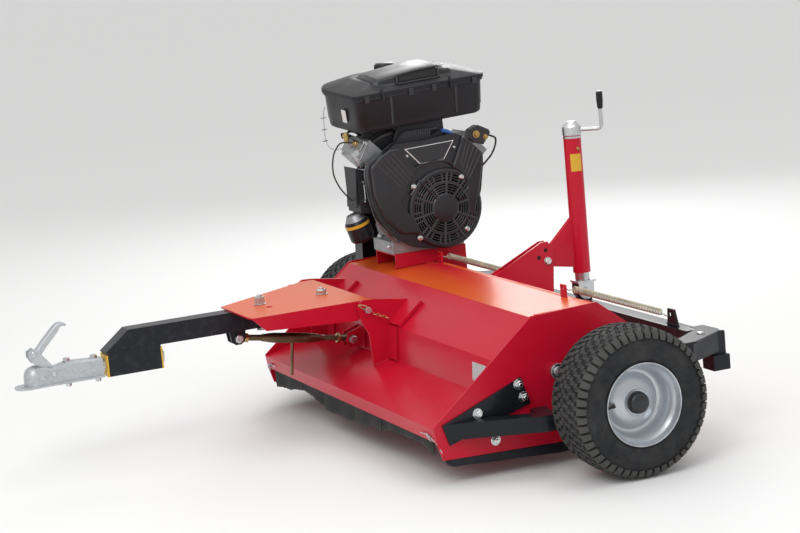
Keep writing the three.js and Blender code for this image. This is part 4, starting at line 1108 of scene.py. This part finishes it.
@made("yellow_zinc", HITCH)
def linch_pin_chain(bm):
    sweep(bm, spline([(-46, -359, 378), (-40, -372, 384), (-39, -384, 395), (-38, -362, 390), (-38, -344, 372),
        (-40, -334, 362)], 6), 1.9, 8)
    for i in range(LINKS):
        c = (-38, -333 + i * 9.5, 360 - i * 4 + (2 if i % 2 else 0))
        flat = i % 2 == 0
        loop = []
        for k in range(17):
            a = TAU * k / 16
            d = 6.0 * math.cos(a)
            e = 3.6 * math.sin(a)
            loop.append((c[0] + (e if flat else 0), c[1] + d * 0.92, c[2] - d * 0.35 + (0 if flat else e)))
        sweep(bm, loop, 1.2, 6)


REAR_EYE, FRONT_EYE = (DRAW_X, -331, 255), (DRAW_X, -696, 315)
SLOPE_DIR = (Vector(FRONT_EYE) - Vector(REAR_EYE)).normalized()
# places along the turnbuckle, from its rear eye
REAR_NUT, REAR_THREAD, SLEEVE, TOMMY, FRONT_THREAD, FRONT_NUT = 44, (52, 83), (100, 290), 190, (290, 332), 334


def on_run(s):
    """A point s mm along the turnbuckle from its rear eye."""
    v = Vector(REAR_EYE) + SLOPE_DIR * s
    return tuple(v)


piece("turnbuckle_sleeve_forging", "bronze", BODY["turnbuckle_sleeve"],
    lambda bm: sweep(bm, [on_run(s) for s in (SLEEVE[0], 104, 112, 124, 140, 250, 266, 278, 286, SLEEVE[1])],
    [10, 11.5, 12, 14, 15.5, 15.5, 14, 12, 11.5, 10], 28), smooth=30, replaces=("turnbuckle_sleeve",))


@made("bronze", BODY["turnbuckle_sleeve"])
def turnbuckle_tommy_bar(bm):
    a = on_run(TOMMY)
    sweep(bm, [(a[0], a[1], a[2] - 9), (a[0], a[1] - 6, a[2] - 60), (a[0], a[1] - 12, a[2] - 114)], 4.6, 14)


@made("yellow_zinc", BODY["turnbuckle_rear_end"], bevel=0.5, segments=1)
def turnbuckle_rear_locknut(bm):
    hexagon(bm, on_run(REAR_NUT), tuple(-SLOPE_DIR), 27, 11)


@made("brass", BODY["turnbuckle_front_end"], bevel=0.5, segments=1)
def turnbuckle_front_locknut(bm):
    hexagon(bm, on_run(FRONT_NUT), tuple(SLOPE_DIR), 27, 11)


def thread(bm, s0, s1):
    pitch = 2.6
    steps = int((s1 - s0) / pitch * 10)
    u = Vector((1, 0, 0))
    v = SLOPE_DIR.cross(u)
    pts = []
    for i in range(steps + 1):
        t = TAU * i / 10
        c = Vector(on_run(s0 + pitch * i / 10)) + (u * math.cos(t) + v * math.sin(t)) * 9.0
        pts.append(tuple(c))
    sweep(bm, pts, 0.75, 5)


piece("turnbuckle_rear_thread", "bronze", BODY["turnbuckle_rear_end"], lambda bm: thread(bm, *REAR_THREAD))
piece("turnbuckle_front_thread", "bronze", BODY["turnbuckle_front_end"], lambda bm: thread(bm, *FRONT_THREAD))

# ---------------------------------------------------------------- jack: grip, cap, label, grease nipple, bolts
JACK = (0, 347)
GRIP = (62, 417)
RIBS = 9
LABEL_STEPS = 14
grip = [(0, 890), (6.6, 890), (7.6, 892)]
for k in range(RIBS):
    z = 895 + k * 5
    r = 9.2 + 1.3 * min(k / 4, 1)
    grip += [(r - 0.9, z), (r, z + 1), (r, z + 3), (r - 0.9, z + 4)]
grip += [(9.6, 940), (8, 942), (0, 942)]
turned("crank_grip_ribbed", "plastic", BODY["crank_grip"], "Z", GRIP, grip, 32, replaces=("crank_grip",))
cut("jack_cap_boss", "zinc", BODY["jack_cap"], "Z", [(9, 338), (21, 338), (21, 350), (9, 350)], 840, 850, bevel=2)
turned("jack_tube_collar", "zinc", BODY["jack_outer"], "Z", JACK, [(27.2, 806), (28.4, 806), (28.4, 812.5),
    (27.2, 812.5), (27.2, 806)], 56, bevel=0.5)


@made("yellow", BODY["jack_outer"])
def jack_blank_label(bm):
    r0, r1, lo, hi = 27.15, 27.55, 706, 759
    steps = [math.radians(-48.7 + 74.1 * i / LABEL_STEPS) for i in range(LABEL_STEPS + 1)]
    rows = [[bm.verts.new(P(JACK[0] + r * math.cos(a), JACK[1] + r * math.sin(a), z)) for a in steps]
        for r, z in ((r0, lo), (r1, lo), (r1, hi), (r0, hi))]
    skin(bm, rows + rows[:1], closed=False)
    for i in (0, LABEL_STEPS):
        bm.faces.new([row[i] for row in rows])


@made("brass", BODY["jack_outer"])
def jack_grease_nipple(bm):
    hexagon(bm, (27, 348.5, 775), (1, 0.05, 0), 9, 4)
    sweep(bm, [(31, 348.6, 775), (34, 348.8, 775), (36, 348.9, 775)], [2.6, 2.0, 2.6], 12)


bolts("jack_bolts", "zinc", DECK, [((15, 224, 446), (1, 0, 0), 20, 8, 24, 0, 6), ((-15, 224, 446), (-1, 0, 0), 20, 9,
    24, 4, 6)])
bolts("clevis_nut", "zinc", BODY["jack_clevis"], [((24, 347, 335), (1, 0, 0), 18, 8, 0, 0, 24)])
bolts("frame_bolts", "zinc", BODY["wheel_frame"], [((700, 331, 301), (0, 0, 1), 19, 8, 26, 0, 24)])

# ---------------------------------------------------------------- side hardware
GUARD_X, PANEL_X = 648, 642
GUARD_BOLTS = ((GUARD_X, -219, 246), (GUARD_X, -206, 209), (GUARD_X, -347, 186), (PANEL_X, -297, 103))
bolts("guard_bolts", "chrome", DECK, [(at, (1, 0, 0), 19, 10, 30, 5, 6) for at in GUARD_BOLTS]
    + [((-PANEL_X, -297, 103), (-1, 0, 0), 17, 10, 28, 0, 6)])
bolts("bearing_bolts", "zinc", DECK, [((s * PANEL_X, y, z), (s, 0, 0), 15, 8, 22, 0, 6) for s in (1, -1)
    for y, z in ((-48, 250), (-48, 174), (56, 174), (56, 250))])


# flat black discs on both faces of the jack bracket, in place of two holes: painted shade for their dark insides
@made("painted_shade_black", DECK)
def jack_bracket_hole_shade(bm):
    for y, z in ((196, 459), (220, 479)):
        for s in (1, -1):
            revolve(bm, "X", (y, z), [(0, s * 15.05), (6.2, s * 15.05), (6.2, s * 15.4), (0, s * 15.4)], 20)


@made("black", DECK)
def guard_plate_creases(bm):
    for s in (1, -1):
        sweep(bm, [(s * 648.2, -294, 231), (s * 648.2, -207, 184)], 1.8, 8)


# ---------------------------------------------------------------- front flap, hung strips, trip wire
FLAP = [(-600, 66), (-480, 78), (-357, 96), (-299, 90), (-200, 75), (-184, 69), (-13, 70), (156, 77), (173, 84),
    (249, 84), (301, 98), (398, 99), (474, 102), (552, 99), (600, 84)]


def flap_foot(x):
    for (x0, z0), (x1, z1) in zip(FLAP, FLAP[1:]):
        if x0 <= x <= x1:
            return z0 + (z1 - z0) * (x - x0) / (x1 - x0)
    return FLAP[0][1] if x < FLAP[0][0] else FLAP[-1][1]


@made("rubber", DECK, smooth=40, replaces=("front_flap",))
def front_flap_strips(bm):
    cuts = [-600, -478, -357, -299, -184, -60, 60, 165, 250, 300, 420, 520, 600]
    for k, (a, b) in enumerate(zip(cuts, cuts[1:])):
        a, b = a + 1.2, b - 1.2
        swing = rng.uniform(-3, 4)
        nx, nz = max(2, int((b - a) / 12)), 6
        front, back = [], []
        for i in range(nx + 1):
            x = a + (b - a) * i / nx
            foot = flap_foot(x) + rng.uniform(-2, 2)
            for store, off in ((front, 0), (back, 4.5)):
                store.append([])
                for j in range(nz + 1):
                    t = j / nz
                    wave = 2.0 * t * math.sin(x / 23 + k) + swing * t * t
                    store[-1].append(bm.verts.new(P(x, -463 + off + wave, 143 + (foot - 143) * t)))
        shell_of(bm, front, back)


turned("flap_sleeve", "rubber", DECK, "X", (-451, 144), [(5.6, -570), (10.8, -570), (11.4, -568), (11.4, 568),
    (10.8, 570), (5.6, 570), (5.6, -570)], 24)


@made("zinc", DECK)
def flap_latch_wires(bm):
    for s in (1, -1):
        sweep(bm, spline([(s * 554, -478, 140), (s * 590, -479, 143), (s * 622, -472, 130), (s * 640, -463, 108),
            (s * 640, -456, 92)], 8), 1.6, 8)
        pts = []
        for i in range(60):
            t = TAU * i / 10
            pts.append((s * (598 + i * 0.35), -476 + 5 * math.cos(t), 140 - i * 0.12 + 5 * math.sin(t)))
        sweep(bm, pts, 0.9, 6)


# ---------------------------------------------------------------- plates, weld beads
def recess_point(x, z, lift=0.4):
    return (x, -293 + 8 * (z - 218) / 102 - lift, z)


@made("plate_grey", DECK, bevel=0.2)
def hood_plate(bm):
    slab(bm, [recess_point(514, 247), recess_point(597, 247), recess_point(597, 299), recess_point(514, 299)],
        (0, -1, 0.08), 0.8)


bolts("hood_plate_rivets", "zinc", DECK, [((x, -294 + 8 * (z - 218) / 102, z), (0, -1, 0.08), 5, 1.6, 0, 0, 24)
    for x in (519, 592) for z in (252, 294)])


def bead(bm, points, radius=2.6):
    """A weld bead: a ripple of small overlapping scallops."""
    line = spline(points, 14)
    length = sum((b - a).length for a, b in zip(line, line[1:]))
    n = max(6, int(length / 1.4))
    pts, radii, walked, k = [], [], 0.0, 0
    for i in range(n + 1):
        want = length * i / n
        while k < len(line) - 2 and walked + (line[k + 1] - line[k]).length < want:
            walked += (line[k + 1] - line[k]).length
            k += 1
        seg = (line[k + 1] - line[k]).length or 1
        pts.append(tuple(line[k].lerp(line[k + 1], min(1, (want - walked) / seg))))
        radii.append(radius * (1 + 0.22 * math.sin(i * 2.1) + 0.1 * math.sin(i * 0.7)))
    sweep(bm, pts, radii, 8)


@made("red", DECK)
def weld_beads(bm):
    for x in (-50, -60, -538, -548):
        bead(bm, [(x, -344, 205.5), (x, -296, 219.6), (x, -292, 240)])
        bead(bm, [(x, -287, 300), (x, -286, 321), (x, -246, 353), (x, -207, 385)])
    for x in (DRAW_X - 15, DRAW_X - 21, DRAW_X + 15, DRAW_X + 21):
        bead(bm, [(x, -296, 228), (x, -293, 260), (x, -291, 291)], 2.2)
    for x in (-12, 12):
        bead(bm, [(x - 3, 44, 425), (x, 58, 433)], 2.2)
    for s in (1, -1):
        bead(bm, [(s * 636.8, -470, 150), (s * 636.8, -477, 166)], 2)
    for y, z in ((-110, 427.5), (0, 427.5), (40, 429)):
        bead(bm, [(-369.5, y - 8, z), (-369.5, y + 20, z + 0.4)], 2.2)


@made("black", BODY["wheel_frame"])
def frame_weld_beads(bm):
    for x in (532, -378):
        bead(bm, [(x - 14, 332, 308), (x + 40, 332, 308)], 2.4)
    for s in (1, -1):
        bead(bm, [(s * 661, 362, 301), (s * 661, 405, 301)], 2.4)
        bead(bm, [(s * 700, 362, 301), (s * 700, 405, 301)], 2.4)


bolts("crankcase_bolts", "zinc", DECK, [((x, y, 508), (0, 0, 1), 15, 9, 24, 4, 6) for x in (-390, -506)
    for y in (-98, 116)] + [((-400, -114, 492), (0, -1, 0), 13, 7, 20, 0, 24)])

# ---------------------------------------------------------------- far and back side of the engine, belt guard
CASE = [(-64, 506), (130, 506), (150, 560), (132, 690), (-10, 700), (-60, 640), (-70, 530)]


@made("alloy", DECK)
def crankcase_ribs(bm):
    for k in range(6):
        x = -582 + k * 33
        sweep(bm, [(x, 130, 512), (x, 150, 560), (x, 133, 684)], 3.6, 8)
        sweep(bm, [(x, -66, 532), (x, -60, 636)], 3.0, 8)
    rim = inset(CASE, 0.9)
    for a, b in zip(rim, rim[1:] + rim[:1]):
        sweep(bm, [(-600, *a), (-600, *b)], 4.5, 8)


bolts("crankcase_cover_bolts", "zinc", DECK, [((-603, y, z), (-1, 0, 0), 12, 7, 18, 0, 6)
    for y, z in inset(CASE, 0.9)])
GUARD_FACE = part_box("belt_guard")[0].x * 1000
bolts("belt_guard_bolts", "zinc", DECK, [((GUARD_FACE, y, z), (-1, 0, 0), 15, 7, 26, 0, 6)
    for y, z in ((-29, 598), (61, 688), (151, 598))])


@made("black", DECK)
def belt_guard_beads(bm):
    # pressed stiffening beads on the belt guard's outer face
    for y in (0, 60):
        sweep(bm, spline([(GUARD_FACE, y - 26, 300), (GUARD_FACE, y - 18, 360), (GUARD_FACE, y + 2, 480),
            (GUARD_FACE, y + 8, 530)], 6), 3.5, 10)


@made("red", DECK)
def hood_seams(bm):
    for x in (-600, -200, 200, 600):
        bead(bm, [(x - 20, 40, 429), (x + 20, 40, 429)], 1.2)
    for s in (1, -1):
        bead(bm, [(s * 636, -150, 424), (s * 636, 30, 429)], 1.8)
        bead(bm, [(s * 636, 46, 425), (s * 636, 214, 293)], 1.8)
